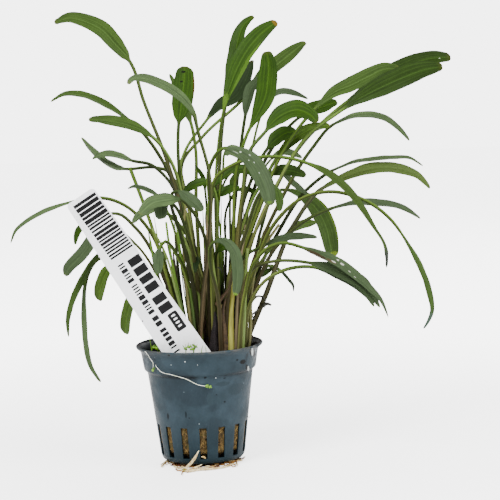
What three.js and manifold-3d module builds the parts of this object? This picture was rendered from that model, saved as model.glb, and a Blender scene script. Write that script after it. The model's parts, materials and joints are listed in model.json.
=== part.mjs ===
// A potted Cryptocoryne: a net pot with a rockwool plug, a plastic plant label, a tuft of
// long-stalked leaves, a root mat under the pot and two seedlings on its front.
// Millimetres, +Z up. The origin is on the resting surface, under the middle of the pot.

import * as THREE from 'three';
import { mergeVertices } from 'three/addons/utils/BufferGeometryUtils.js';
import Module from 'manifold-3d';

const wasm = await Module();
wasm.setup();

// Driving dimensions
const gap = 0.3;               // clearance between touching pieces
const potBase = 2;             // the pot stands this high on its root mat
const potHeight = 50;
const rimRadius = 27.5;
const potWall = 1.1;
const slotCount = 15;
const slotWidth = 3.1;
const slotBottom = 2.5;        // above the pot's base
const slotTop = 16.2;
const firstSlotAngle = 2.3;    // degrees from the front, towards +X
const plugTop = 46;
const labelLength = 97;
const labelWidth = 18.2;       // at its foot
const labelTopWidth = 13.8;
const labelCorner = 1.8;
const labelThickness = 0.8;
const labelLean = 31.9;        // degrees from upright, towards -X
const labelDepth = -17;        // y of the label's middle plane
const labelFoot = [3.9, 36];   // x, z of the middle of the label's lower end
const stalkRadius = 0.6;       // at the blade
const stalkFootRadius = 0.95;  // at the plug
const bladeThickness = 0.55;
const threadRadius = 0.4;
const threadStep = 5;          // between the rings of a thread

// The leaves are laid out in a front view. A point (x, z) is where the eye sees it on the plane
// y = 0, and its depth slides it along the line of sight, so depth never changes the front view.
const eye = new THREE.Vector3(23.4, -735, 164.9);

function place(x, z, depth) {
  const t = (depth - eye.y) / -eye.y;
  return new THREE.Vector3(eye.x + (x - eye.x) * t, depth, eye.z + (z - eye.z) * t);
}

// Helpers that turn closed geometry into solids and back
function toSolid(geometry) {
  const bare = geometry.clone();
  bare.deleteAttribute('normal');
  bare.deleteAttribute('uv');
  const merged = mergeVertices(bare, 1e-4);
  return new wasm.Manifold(new wasm.Mesh({
    numProp: 3,
    vertProperties: new Float32Array(merged.attributes.position.array),
    triVerts: new Uint32Array(merged.index.array),
  }));
}

function toGeometry(solid) {
  const mesh = solid.getMesh();
  const geometry = new THREE.BufferGeometry();
  geometry.setAttribute('position', new THREE.BufferAttribute(mesh.vertProperties, 3));
  geometry.setIndex(new THREE.BufferAttribute(mesh.triVerts, 1));
  geometry.computeVertexNormals();
  return geometry;
}

// A closed skin over rings of equal length, with a point at each end
function skin(rings, startPoint, endPoint) {
  const sides = rings[0].length;
  const points = [...rings.flat(), startPoint, endPoint];
  const start = points.length - 2;
  const end = points.length - 1;
  const index = [];
  for (let i = 0; i < sides; i++) {
    const next = (i + 1) % sides;
    index.push(start, next, i);
    for (let r = 0; r < rings.length - 1; r++) {
      const a = r * sides;
      const b = a + sides;
      index.push(a + i, a + next, b + next, a + i, b + next, b + i);
    }
    const last = (rings.length - 1) * sides;
    index.push(end, last + i, last + next);
  }
  const geometry = new THREE.BufferGeometry();
  geometry.setFromPoints(points);
  geometry.setIndex(index);
  geometry.computeVertexNormals();
  return geometry;
}

// Materials
const finishes = {
  pot: { color: 0x46545c, roughness: 0.45 },
  rockwool: { color: 0x6b4a22, roughness: 0.95 },
  label: { color: 0xf2f2f2, roughness: 0.4 },
  bright: { color: 0x5c7f2e, roughness: 0.5 },
  dark: { color: 0x344f1e, roughness: 0.5 },
  grey: { color: 0x5e7a56, roughness: 0.55 },
  stalk: { color: 0x7d7a45, roughness: 0.6 },
  root: { color: 0xcbb083, roughness: 0.8 },
  seedling: { color: 0xdfe8c8, roughness: 0.5 },
};

const plant = new THREE.Group();

function add(name, geometry, finish) {
  const material = new THREE.MeshStandardMaterial({ metalness: 0, ...finishes[finish] });
  const mesh = new THREE.Mesh(geometry, material);
  mesh.name = name;
  plant.add(mesh);
  return mesh;
}

// The pot's outside from foot to rim, as [radius, height above the base]
const potOutside = [
  [16.5, 0], [17.7, 0.8], [18.3, slotBottom], [20, slotTop], [22.9, 38.5], [24.2, 39.5],
  [25.4, 47], [27.2, 48.6], [rimRadius, 49.4], [27.2, potHeight],
];
const potInside = [
  [26.2, potHeight], [25.7, 49], [24.3, 47.2], [23.1, 40.1], [21.8, 38.9], [18.9, slotTop],
  [17.2, slotBottom], [16.2, potWall],
];

function radiusAt(profile, height) {
  for (let i = 1; i < profile.length; i++) {
    const [r0, z0] = profile[i - 1];
    const [r1, z1] = profile[i];
    if ((height - z0) * (height - z1) <= 0 && z0 !== z1) {
      return r0 + ((r1 - r0) * (height - z0)) / (z1 - z0);
    }
  }
  return profile[0][0];
}

function lathe(profile, segments) {
  const geometry = new THREE.LatheGeometry(profile.map(([r, z]) => new THREE.Vector2(r, z)), segments);
  geometry.rotateX(Math.PI / 2);
  return geometry;
}

function makePot() {
  let pot = toSolid(lathe([[0, 0], ...potOutside, ...potInside, [0, potWall]], slotCount * 3));
  const slot = new THREE.BoxGeometry(slotWidth, 8, slotTop - slotBottom);
  slot.translate(0, -18, (slotTop + slotBottom) / 2);
  for (let i = 0; i < slotCount; i++) {
    const cutter = slot.clone();
    cutter.rotateZ(THREE.MathUtils.degToRad(firstSlotAngle + (360 / slotCount) * i));
    pot = pot.subtract(toSolid(cutter));
  }
  const geometry = toGeometry(pot);
  geometry.translate(0, 0, potBase);
  return geometry;
}

function labelPlate(grow) {
  const foot = labelWidth / 2 + grow;
  const head = labelTopWidth / 2 + grow;
  const top = labelLength + grow;
  const outline = new THREE.Shape();
  outline.moveTo(-foot, -grow);
  outline.lineTo(foot, -grow);
  outline.lineTo(head, top - labelCorner);
  outline.quadraticCurveTo(head, top, head - labelCorner, top);
  outline.lineTo(-head + labelCorner, top);
  outline.quadraticCurveTo(-head, top, -head, top - labelCorner);
  const depth = labelThickness + 2 * grow;
  const plate = new THREE.ExtrudeGeometry(outline, { depth, bevelEnabled: false, curveSegments: 4 });
  plate.translate(0, 0, -depth / 2);
  plate.rotateX(Math.PI / 2);
  plate.rotateY(THREE.MathUtils.degToRad(-labelLean));
  plate.translate(labelFoot[0], labelDepth, labelFoot[1]);
  return plate;
}

// The plug fills the pot to its inner wall and has a slot for the label
function makeRockwool() {
  const heights = [potWall + gap, slotTop, 38.6, plugTop - potBase - 3];
  const side = heights.map((z) => [radiusAt(potInside, Math.max(z, potWall)) - gap - 0.15, z]);
  const top = plugTop - potBase;
  const plug = lathe([[0, heights[0]], ...side, [20, top - 0.8], [14, top], [0, top]], 24);
  plug.translate(0, 0, potBase);
  return toGeometry(toSolid(plug).subtract(toSolid(labelPlate(gap))));
}

// Leaves. route runs from the foot of the stalk to the tip, as (x, z) in the front view, and neck
// is the number of the route's point where the blade starts. depth is the y of the foot and of the
// tip. turn is how far the blade's face turns away from the front, towards facing up, in degrees.
// foot is the radius of a stalk that is stouter than the others.
const leavesLeft = [
  { route: [[-1, 46.4], [-1.8, 64], [-2.3, 93.5], [-7.8, 116], [-12.7, 138], [-20, 157.6], [-25, 174],
    [-30, 180.4], [-35, 186.5], [-40, 190.6], [-45, 192], [-50.3, 193.3], [-56.5, 191.5]],
  neck: 6, width: 8.5, widest: 0.75, turn: 20, depth: [-4, -8], finish: 'bright' },
  { route: [[2.5, 46.4], [0, 80], [-5, 110], [-11.4, 128.6], [-16.4, 136.6], [-24.6, 147.6], [-30, 151.7],
    [-40, 158], [-52, 161.2], [-59.6, 158.2]],
  neck: 5, width: 5, turn: 55, depth: [-1, 4], finish: 'dark' },
  { route: [[1, 46.4], [0, 80], [-4, 110], [-9.5, 131.5], [-16.5, 141.5], [-25, 146.2], [-35, 149],
    [-43.8, 150]],
  neck: 4, width: 6.5, turn: 45, depth: [-6, -12], finish: 'dark' },
  { route: [[3.5, 46.4], [1, 80], [-4, 110], [-10.8, 126.8], [-18.6, 128.6], [-28.2, 128.3], [-34, 129.3],
    [-40, 133.7], [-45, 139.3], [-47, 142.6]],
  neck: 5, width: 5.5, widest: 0.75, turn: 60, depth: [6, 48], finish: 'grey' },
  { route: [[5, 46.4], [2, 80], [-4, 105], [-12.2, 125], [-18.8, 130.3], [-25.5, 131.7], [-31, 133.6],
    [-38, 134.7], [-42.9, 133.3]],
  neck: 5, width: 5.5, turn: 57, depth: [4, 42], finish: 'grey' },
  { route: [[-3, 46.4], [-10, 75], [-18.4, 98.6], [-24.5, 108.4], [-33.5, 114.8], [-40, 116],
    [-50, 115.5], [-60.2, 112.5], [-68.8, 108.8], [-76.3, 104], [-79.6, 98]],
  neck: 6, width: 4, turn: 60, depth: [0, 3], finish: 'dark' },
  { route: [[-4.5, 46.4], [-12, 75], [-22, 97], [-27, 104.5], [-34, 109.5], [-39.5, 107], [-44, 98.5],
    [-48.2, 92.8], [-54.8, 86.4], [-57, 83.2]],
  neck: 5, width: 6.5, turn: 30, depth: [1, 8], tip: 0.2, finish: 'dark' },
  { route: [[-5.5, 46.4], [-12, 68], [-24, 88], [-33, 94.5], [-38, 94.5], [-42.7, 91], [-48.5, 81.8],
    [-53, 73.3], [-55.7, 66.3], [-56.5, 56.4]],
  neck: 4, width: 5, turn: 52, depth: [6, 18], finish: 'dark' },
  { route: [[-7, 46.4], [-13, 65], [-25, 84], [-36, 91], [-42, 90], [-46.6, 84], [-48.7, 76.4],
    [-48.9, 67.6], [-48.9, 53.8], [-47.3, 43.8], [-43.4, 36.1]],
  neck: 5, width: 3.6, turn: 38, depth: [8, 24], tip: 0.3, finish: 'dark' },
  { route: [[-4, 46.4], [-10, 62], [-20, 80], [-28, 87.5], [-34, 88], [-38.4, 84.6], [-41.8, 76.8],
    [-42.7, 71.8]],
  neck: 4, width: 6, turn: 30, depth: [9, 36], tip: 0.2, finish: 'bright' },
  { route: [[-2, 46.4], [-8, 60], [-17, 75], [-23, 78.5], [-26.5, 76.5], [-29.2, 70], [-31.2, 62.5],
    [-31.8, 56.8]],
  neck: 4, width: 6, turn: 30, depth: [10, 42], tip: 0.2, finish: 'bright' },
  { route: [[4.5, 46.4], [5, 75], [3.6, 99.4], [0.8, 106.7], [-5.6, 114.5], [-10, 114.3], [-15.2, 114],
    [-19.2, 112.4], [-23.5, 108.5]],
  neck: 4, width: 6.5, turn: 30, depth: [-9, -38], finish: 'grey' },
  { route: [[3.5, 46.4], [3.5, 65], [3.2, 78], [0.1, 87.2], [-2.7, 97.3], [-9.2, 105.6], [-15, 111],
    [-19, 110], [-23.5, 108], [-26.6, 104.9]],
  neck: 6, width: 5, turn: 45, depth: [-8, -27], finish: 'dark' },
  { route: [[1.5, 46.4], [0, 80], [-5, 105], [-10, 113.5], [-12.5, 114.5], [-13.8, 112], [-14, 109],
    [-13.8, 106.2]],
  neck: 4, width: 6, turn: 15, depth: [-8, -33], tip: 0.2, finish: 'grey' },
  { route: [[1, 46.4], [-2, 80], [-8, 108], [-9.5, 117], [-6.5, 117.8], [-2, 114.4], [0.9, 111.8],
    [3.5, 109]],
  neck: 4, width: 5.5, turn: 35, depth: [-7, -37], tip: 0.35, finish: 'grey' },
  { route: [[0, 46.4], [-2, 70], [-8, 90], [-13, 96.5], [-15.5, 93.5], [-16.2, 88], [-16.3, 82.4]],
  neck: 4, width: 5, turn: 15, depth: [-9, -31], finish: 'dark' },
];

const leavesMiddle = [
  { route: [[2, 46.4], [-1, 80], [-5.6, 121], [-5.5, 140], [-5.2, 147], [-4.5, 151.7], [-3.3, 158.5],
    [-2.4, 165], [-1.7, 171.4]],
  neck: 4, width: 9.5, turn: 15, depth: [-3, -10], tip: 0.2, finish: 'bright' },
  { route: [[5.5, 46.4], [2, 80], [0.6, 129.6], [1.6, 140], [0, 147], [-4, 158], [-8.3, 168.3]],
  neck: 4, width: 6, turn: 30, depth: [4, 28], tip: 1.2, finish: 'dark' },
  { route: [[0.4, 46.4], [0.4, 54.5], [3, 76], [5.3, 90], [6.6, 110], [7, 126], [5, 135.5], [2.4, 146],
    [1.2, 151.4], [-4.7, 159], [-15.3, 165.2], [-23.8, 166.8], [-26.2, 164.4]],
  neck: 7, width: 4.4, widest: 1.05, turn: 25, depth: [-6, -62], tip: 0.3, finish: 'bright' },
  { route: [[5, 46.4], [0, 90], [-4.5, 131.5], [-0.5, 138], [3, 143], [6.8, 148], [11.8, 153.4],
    [20, 158], [23, 162.6], [25.5, 167.7], [27.3, 173]],
  neck: 5, width: 7, turn: 30, depth: [6, 48], finish: 'dark' },
  { route: [[8, 46.4], [9, 80], [10, 127.6], [12, 141], [13.9, 151], [15.2, 156], [19.4, 166.8],
    [22, 172], [28.2, 180.8], [32.8, 185], [38.3, 188.8]],
  neck: 4, width: 9, widest: 1.15, turn: 25, depth: [2, 20], tip: 0.4, finish: 'bright' },
  { route: [[12, 46.4], [15, 90], [20.8, 137], [23.3, 149], [24.8, 155.7], [26.6, 161], [32, 166]],
  neck: 3, width: 6, turn: 35, depth: [6, 42], finish: 'grey' },
  { route: [[13, 46.4], [16, 90], [21.5, 137], [24.9, 143.4], [29.4, 151.2], [32.3, 157.2], [33.6, 164],
    [34.2, 170.6], [33.5, 176.5]],
  neck: 3, width: 9, widest: 1.15, turn: 15, depth: [-3, -8], tip: 0.35, finish: 'bright' },
  { route: [[7, 46.4], [9, 90], [12, 135], [15, 154], [19.4, 172.3], [22, 183.2], [24.8, 188.6],
    [28.6, 191.4]],
  neck: 3, width: 7, widest: 1.1, turn: 30, depth: [5, 26], finish: 'dark' },
  { route: [[4, 46.4], [-1, 90], [-4.9, 128.4], [4.8, 141], [13.3, 149.3], [22.1, 155.9], [31, 165],
    [40.8, 172.8], [50.2, 179.8]],
  neck: 5, width: 8, widest: 1.15, turn: 30, depth: [8, 54], finish: 'dark' },
  { route: [[6.5, 46.4], [6.5, 90], [7, 126], [8.5, 130.5], [11, 134], [13.5, 135.7], [19.6, 134],
    [24.9, 130.6], [27.9, 125], [30.5, 120], [32.7, 110.4]],
  neck: 5, width: 7.8, widest: 1.15, turn: 20, depth: [-10, -48], tip: 0.3, finish: 'grey' },
  { route: [[9.5, 46.4], [9, 60], [8.8, 72.4], [7.4, 81.4], [6, 92.5], [8, 95.6], [13, 95.6], [15.5, 93],
    [17.5, 82.6], [16.3, 72]],
  neck: 5, width: 5.5, turn: 25, depth: [-10, -42], tip: 0.35, finish: 'grey' },
  { route: [[8.5, 46.4], [9, 90], [8.5, 115], [7.5, 121], [3.4, 121.2], [0, 120], [-4.3, 117.2]],
  neck: 3, width: 5, turn: 40, depth: [-2, 0], finish: 'dark' },
  { route: [[6, 46.4], [6, 90], [6, 110], [8.5, 115.5], [12, 116.5], [16, 118], [20, 118.8]],
  neck: 3, width: 5, turn: 40, depth: [0, 2], finish: 'dark' },
  { route: [[9, 46.4], [7.5, 90], [7.5, 112], [9, 119.5], [14, 124], [18, 126.5], [23, 128]],
  neck: 3, width: 4, turn: 45, depth: [3, 8], finish: 'dark' },
];

const leavesRight = [
  { route: [[11, 46.4], [20, 90], [36, 128], [45, 142], [53, 151], [61.4, 157.7], [69.8, 161],
    [79.8, 165.6], [84.2, 167.2], [89.9, 167]],
  neck: 4, width: 7.5, widest: 1.1, turn: 30, depth: [1, -3], tip: 0.4, finish: 'bright' },
  { route: [[10, 46.4], [16, 90], [30, 128], [40, 142], [46, 147.5], [51, 150.5], [57, 152], [63, 154]],
  neck: 4, width: 7, turn: 30, depth: [3, 12], finish: 'bright' },
  { route: [[12.9, 46.4], [13.3, 57], [15.6, 72], [20, 110], [25.5, 135.5], [32, 142.5], [35, 146],
    [40, 149.5], [45, 151], [50, 149.5], [54.2, 145.4]],
  neck: 5, width: 9, turn: 30, depth: [-6, -14], foot: 1.5, finish: 'bright' },
  { route: [[11.5, 46.4], [16, 90], [25, 122], [30, 132], [32.5, 135], [36, 138.5], [40, 141], [45, 142]],
  neck: 4, width: 7.5, turn: 35, depth: [0, 6], finish: 'dark' },
  { route: [[14, 46.4], [20, 90], [31, 122], [36, 130.5], [40, 135], [45, 139], [52, 143], [59.5, 144]],
  neck: 3, width: 6, turn: 35, depth: [3, 12], finish: 'bright' },
  { route: [[15, 46.4], [22, 90], [38, 123], [50, 140], [58, 146], [64.3, 150], [69.6, 153.4],
    [79.9, 158.4], [90.2, 162.7], [100.6, 166.2], [108.4, 167.3]],
  neck: 5, width: 10, widest: 1.15, turn: 25, depth: [-3, -8], tip: 0.45, finish: 'dark' },
  { route: [[13.5, 46.4], [21, 90], [40, 126], [54, 144], [66, 153], [78, 160.5], [90.3, 167],
    [100.6, 170.5], [105.8, 171], [112, 171]],
  neck: 4, width: 8, widest: 1.1, turn: 30, depth: [2, 10], tip: 0.3, finish: 'bright' },
  { route: [[14.5, 46.4], [24, 85], [35.7, 109.5], [42.3, 119.5], [49, 130.6], [57.6, 142], [60.8, 144.2],
    [70, 147.4], [79.6, 147], [86.3, 143.7], [93.4, 136.2]],
  neck: 6, width: 4.8, turn: 52, depth: [4, 22], tip: 0.4, finish: 'dark' },
  { route: [[16, 46.4], [26, 82], [38, 102], [44.5, 111.5], [52.9, 120.6], [59.8, 124.5], [70, 127.8],
    [80, 128.6], [93, 128.6], [99, 125.1]],
  neck: 5, width: 4, turn: 62, depth: [5, 38], finish: 'dark' },
  { route: [[19, 46.4], [21.7, 54.8], [27.7, 67.4], [31.8, 77.5], [38.5, 93.3], [45.1, 105.7],
    [55, 116.8], [65.3, 121.3], [74.9, 124.2], [84.5, 124.6], [95.4, 121.5], [101.8, 115.5]],
  neck: 6, width: 6.5, turn: 42, depth: [3, 42], finish: 'dark' },
  { route: [[7.5, 46.4], [7, 90], [8.5, 121], [13, 125.5], [24, 131], [39.4, 130.6], [50, 127.8],
    [59, 122.7], [68.5, 113], [77, 99.5], [82.2, 89.5], [82, 81.7]],
  neck: 6, width: 4.2, widest: 0.6, turn: 35, depth: [-6, -24], tip: 1.5, finish: 'dark' },
  { route: [[10.5, 46.4], [16, 85], [27, 112], [32, 119.5], [34.5, 119], [36.3, 113], [36.7, 107.7]],
  neck: 4, width: 4.5, turn: 35, depth: [-7, -22], finish: 'dark' },
  { route: [[10, 46.4], [16, 90], [28, 118], [33, 123.5], [38.3, 125.3], [42, 125], [48.7, 122.8]],
  neck: 3, width: 5.5, turn: 25, depth: [-1, 0], finish: 'dark' },
  { route: [[12, 46.4], [20, 90], [31, 120], [36, 126], [40, 122.5], [43.5, 119], [49, 114.5]],
  neck: 3, width: 4, turn: 45, depth: [4, 22], finish: 'grey' },
  { route: [[17, 46.4], [25, 85], [31, 108], [36, 116.5], [39.6, 117], [45, 115.2], [49.2, 112],
    [53.4, 107], [57.2, 98], [58, 93], [59.2, 86.8]],
  neck: 4, width: 9, widest: 1.1, turn: 20, depth: [8, 58], tip: 0.25, finish: 'dark' },
  { route: [[15.5, 46.4], [24, 80], [33, 100], [40, 109], [51.5, 114.8], [63.5, 115], [75.2, 110.2],
    [85.3, 101.6], [91.2, 92], [97.4, 78.8], [100.9, 62.7], [98.9, 57.3], [97.3, 54.6]],
  neck: 7, width: 4, widest: 1.2, turn: 45, depth: [-5, -18], finish: 'bright' },
  { route: [[17.5, 46.4], [24, 72], [37, 95.5], [45.3, 102], [53.9, 105.8], [59.2, 108.3], [68.4, 110],
    [78.7, 109.7], [88.9, 107.6], [97.3, 102.6]],
  neck: 5, width: 5, turn: 53, depth: [4, 28], finish: 'grey' },
  { route: [[15, 46.4], [24, 80], [33, 92], [39.5, 98], [45, 101], [52.2, 102.7]],
  neck: 3, width: 5, turn: 40, depth: [6, 32], finish: 'bright' },
  { route: [[13.5, 46.4], [16, 70], [20, 88], [25, 91], [28.5, 92.7], [35.5, 95.4], [45.8, 96.5],
    [52.7, 96]],
  neck: 4, width: 4.5, turn: 48, depth: [-4, -7], finish: 'dark' },
  { route: [[17, 46.4], [18, 55], [19.4, 67], [25, 86], [34, 93.5], [41, 93.7], [45.7, 92], [56.3, 87.2],
    [66, 80.8], [74.8, 72.4], [79.8, 66.6], [82.3, 60]],
  neck: 6, width: 5.4, widest: 0.75, turn: 45, depth: [-8, -33], tip: 0.9, finish: 'grey' },
  { route: [[18.5, 46.4], [19.5, 60], [20.5, 76], [24.7, 84], [36.8, 86.3], [48.7, 85.1], [58.6, 82],
    [70.9, 75.3], [78.8, 64.5]],
  neck: 5, width: 7, turn: 36, depth: [-9, -29], tip: 0.7, finish: 'grey' },
  { route: [[20, 46.4], [21, 60], [24.5, 72.5], [31.6, 79.5], [38.6, 82.5], [45.5, 83.4], [51.5, 82.9],
    [60.5, 79], [71, 72.4], [76.3, 65]],
  neck: 6, width: 4.5, turn: 41, depth: [-6, -22], tip: 0.7, finish: 'grey' },
];

// A stalk whose blade was cut off
const cutStalk = { route: [[-5, 46.4], [-10, 70], [-17, 96], [-20, 108], [-23.7, 121.2], [-26.9, 128.9]],
  width: 0, turn: 0, depth: [-3, 0], finish: 'stalk' };

const leaves = [
  ...leavesLeft.map((leaf, i) => ({ name: `leaf_left_${i + 1}`, ...leaf })),
  ...leavesMiddle.map((leaf, i) => ({ name: `leaf_middle_${i + 1}`, ...leaf })),
  ...leavesRight.map((leaf, i) => ({ name: `leaf_right_${i + 1}`, ...leaf })),
  { name: 'stalk_cut', ...cutStalk },
];

const longestSpan = 26;        // longest stretch of a route between two of its points
const stalkStep = 48;          // a stalk has a ring after this distance, or after this bend (radians),
const stalkBend = 0.58;        // or after some of each
const bladeRings = [0, 0.1, 0.26, 0.46, 0.66, 0.84, 0.95];
const shortBlade = 34;         // a blade shorter than this has fewer rings
const shortBladeRings = [0, 0.14, 0.36, 0.62, 0.86];
const bladeFoot = 0.85;        // how gently a blade widens from its stalk
const fold = 0.2;              // a blade's edges rise this share of its half width
const footFlare = 0.15;        // sheath round a stalk's foot

// Adds points to long straight stretches, so that a stalk can bend round its neighbours
function refine(leaf) {
  const route = [leaf.route[0]];
  let neck = leaf.neck ?? leaf.route.length - 1;
  for (let i = 1; i < leaf.route.length; i++) {
    const [x0, z0] = leaf.route[i - 1];
    const [x1, z1] = leaf.route[i];
    const parts = Math.ceil(Math.hypot(x1 - x0, z1 - z0) / longestSpan);
    for (let p = 1; p <= parts; p++) {
      route.push([x0 + ((x1 - x0) * p) / parts, z0 + ((z1 - z0) * p) / parts]);
    }
    if (i <= (leaf.neck ?? leaf.route.length - 1)) neck += parts - 1;
  }
  leaf.route = route;
  leaf.neck = neck;
  let length = 0;
  const lengths = route.map(([x, z], i) => {
    if (i > 0) length += Math.hypot(x - route[i - 1][0], z - route[i - 1][1]);
    return length;
  });
  const [foot, tip] = leaf.depth;
  leaf.plannedDepths = lengths.map((s) => foot + (tip - foot) * (s / length) ** 1.6);
  leaf.depths = leaf.plannedDepths;
  leaf.shifts = lengths.map(() => 0);
}

// Half width of a blade at a share of its length, as a share of its widest half. Over 1, widest
// moves the widest place towards the tip. A small tip makes a round tip, and a large one a long tail.
function bladeOutline(share, { widest = 0.95, tip = 0.5 }) {
  const moved = Math.min(share, 1) ** widest;
  return Math.sin(Math.PI * moved) ** (moved < 0.5 ? bladeFoot : tip);
}

// Distances along a stalk at which it has rings, closer together where it bends
function stalkMarks(curve, neck, total) {
  const count = 80;
  const spent = [0];
  let before = curve.getTangentAt(0);
  for (let i = 1; i <= count; i++) {
    const along = curve.getTangentAt((neck / total) * (i / count));
    spent.push(spent[i - 1] + neck / count / stalkStep + before.angleTo(along) / stalkBend);
    before = along;
  }
  const steps = Math.max(3, Math.round(spent[count]));
  const marks = [0, 3];
  for (let k = 1; k < steps; k++) {
    const goal = (spent[count] * k) / steps;
    const i = spent.findIndex((value) => value >= goal);
    const mark = (neck * (i - (spent[i] - goal) / (spent[i] - spent[i - 1]))) / count;
    if (mark > 6) marks.push(mark);
  }
  return marks;
}

// Centre, directions and half sizes of a leaf at each of its rings
function sections(leaf) {
  const points = leaf.route.map(([x, z], i) => place(x, z, leaf.depths[i]));
  points[0].z = plugTop + gap;
  const curve = new THREE.CatmullRomCurve3(points);
  const last = leaf.route.length - 1;
  const lengths = curve.getLengths(last * 20);
  const total = lengths[lengths.length - 1];
  const neck = lengths[leaf.neck * 20];
  const marks = stalkMarks(curve, neck, total);
  const shares = total - neck < shortBlade ? shortBladeRings : bladeRings;
  if (leaf.width > 0) marks.push(...shares.map((share) => neck + (total - neck) * share));
  else marks.push(total);
  const turn = THREE.MathUtils.degToRad(leaf.turn);
  const [tipX] = leaf.route[last];
  const [footX] = leaf.route[0];
  const outward = tipX < footX ? 1 : -1;
  const spine = [...marks, total].map((s) => {
    const u = curve.getUtoTmapping(s / total);
    const centre = curve.getPoint(u);
    const along = s > 0 ? curve.getTangent(u) : new THREE.Vector3(0, 0, 1);
    const front = new THREE.Vector3(0, -1, 0).addScaledVector(along, along.y).normalize();
    const up = new THREE.Vector3().crossVectors(along, front).multiplyScalar(outward);
    const face = front.multiplyScalar(Math.cos(turn)).addScaledVector(up, Math.sin(turn));
    const across = new THREE.Vector3().crossVectors(face, along).normalize();
    const share = s > neck ? (s - neck) / (total - neck) : 0;
    const thin = THREE.MathUtils.smoothstep(share, 0, 0.25);
    const stalk = THREE.MathUtils.lerp(leaf.foot ?? stalkFootRadius, stalkRadius, Math.min(1, s / neck));
    const sheath = footFlare * Math.exp(-s / 6);
    const blade = share > 0 ? (leaf.width / 2) * bladeOutline(share, leaf) : 0;
    const wide = Math.max(blade, (stalk + sheath) * (1 - thin));
    const thick = THREE.MathUtils.lerp(stalk + sheath, bladeThickness / 2, thin);
    return { at: u * last, centre, across, face, wide, thick, rise: fold * wide * thin };
  });
  return spine;
}

// Six points round a section: two edges and two pairs on the faces
function ring({ centre, across, face, wide, thick, rise }) {
  const points = [];
  for (let i = 0; i < 6; i++) {
    const angle = (Math.PI / 3) * i;
    const side = Math.cos(angle);
    points.push(centre.clone()
      .addScaledVector(across, wide * side)
      .addScaledVector(face, thick * Math.sin(angle) + rise * Math.abs(side)));
  }
  return points;
}

function makeLeaf(leaf) {
  const spine = sections(leaf);
  const tip = spine.pop();
  return skin(spine.map(ring), spine[0].centre, leaf.width > 0 ? tip.centre : spine[spine.length - 1].centre);
}

// Leaves are kept apart by sliding them along the lines of sight, which leaves the front view as it
// is. Each one is stood for by balls along and across it; where two leaves' balls are too close,
// the leaf in front comes forward and the one behind goes back.
const ballStep = 1.6;
const plateBallStep = 1.3;
const cell = 4;
const spreadRounds = 200;

function balls(leaf) {
  const spine = sections(leaf);
  const list = [];
  for (let i = 1; i < spine.length; i++) {
    const a = spine[i - 1];
    const b = spine[i];
    const steps = Math.max(1, Math.ceil(a.centre.distanceTo(b.centre) / ballStep));
    for (let k = 0; k < steps; k++) {
      const t = k / steps;
      const wide = THREE.MathUtils.lerp(a.wide, b.wide, t);
      const thick = THREE.MathUtils.lerp(a.thick, b.thick, t);
      const centre = a.centre.clone().lerp(b.centre, t);
      const across = a.across.clone().lerp(b.across, t);
      const face = a.face.clone().lerp(b.face, t);
      const rise = THREE.MathUtils.lerp(a.rise, b.rise, t);
      const at = THREE.MathUtils.lerp(a.at, b.at, t);
      const pairs = wide > thick * 1.2 ? Math.ceil((wide - thick) / 0.8) : 0;
      for (let j = -pairs; j <= pairs; j++) {
        const side = pairs > 0 ? j / pairs : 0;
        const spot = centre.clone()
          .addScaledVector(across, side * (wide - thick))
          .addScaledVector(face, rise * Math.abs(side));
        list.push({ x: spot.x, y: spot.y, z: spot.z, r: thick + 0.05, at, leaf });
      }
    }
  }
  return list;
}

function plateBalls() {
  const list = [];
  const lean = THREE.MathUtils.degToRad(labelLean);
  for (let s = 0; s <= labelLength; s += ballStep) {
    const half = THREE.MathUtils.lerp(labelWidth, labelTopWidth, s / labelLength) / 2;
    for (let w = -half; w <= half; w += plateBallStep) {
      const x = labelFoot[0] - Math.sin(lean) * s + Math.cos(lean) * w;
      const z = labelFoot[1] + Math.cos(lean) * s + Math.sin(lean) * w;
      list.push({ x, y: labelDepth, z, r: labelThickness / 2 + 0.25, at: 0, leaf: null });
    }
  }
  return list;
}

function closePairs(list) {
  const cells = new Map();
  const key = (x, y, z) => `${x},${y},${z}`;
  list.forEach((ball) => {
    ball.cell = [Math.floor(ball.x / cell), Math.floor(ball.y / cell), Math.floor(ball.z / cell)];
    const name = key(...ball.cell);
    if (!cells.has(name)) cells.set(name, []);
    cells.get(name).push(ball);
  });
  const pairs = [];
  for (const group of cells.values()) {
    const [cx, cy, cz] = group[0].cell;
    for (let n = 0; n < 27; n++) {
      const row = Math.floor(n / 3);
      const other = cells.get(key(cx + (n % 3) - 1, cy + (row % 3) - 1, cz + Math.floor(row / 3) - 1));
      if (!other) continue;
      for (const a of group) {
        for (const b of other) {
          if (a.leaf === b.leaf || (a.leaf && b.leaf && a.leaf.rank >= b.leaf.rank) || !a.leaf) continue;
          const reach = a.r + b.r + gap;
          const flat = (a.x - b.x) ** 2 + (a.z - b.z) ** 2;
          const room = reach * reach - flat;
          if (room <= 0) continue;
          const need = Math.sqrt(room) - Math.abs(a.y - b.y);
          if (need > 0) pairs.push({ a, b, need, room: Math.sqrt(room) });
        }
      }
    }
  }
  return pairs;
}

function slide(leaf, at, push, sums) {
  const i = Math.min(Math.floor(at), leaf.depths.length - 2);
  const t = at - i;
  const own = sums.get(leaf);
  own.push[i] += push * (1 - t);
  own.weight[i] += 1 - t;
  own.push[i + 1] += push * t;
  own.weight[i + 1] += t;
}

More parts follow.
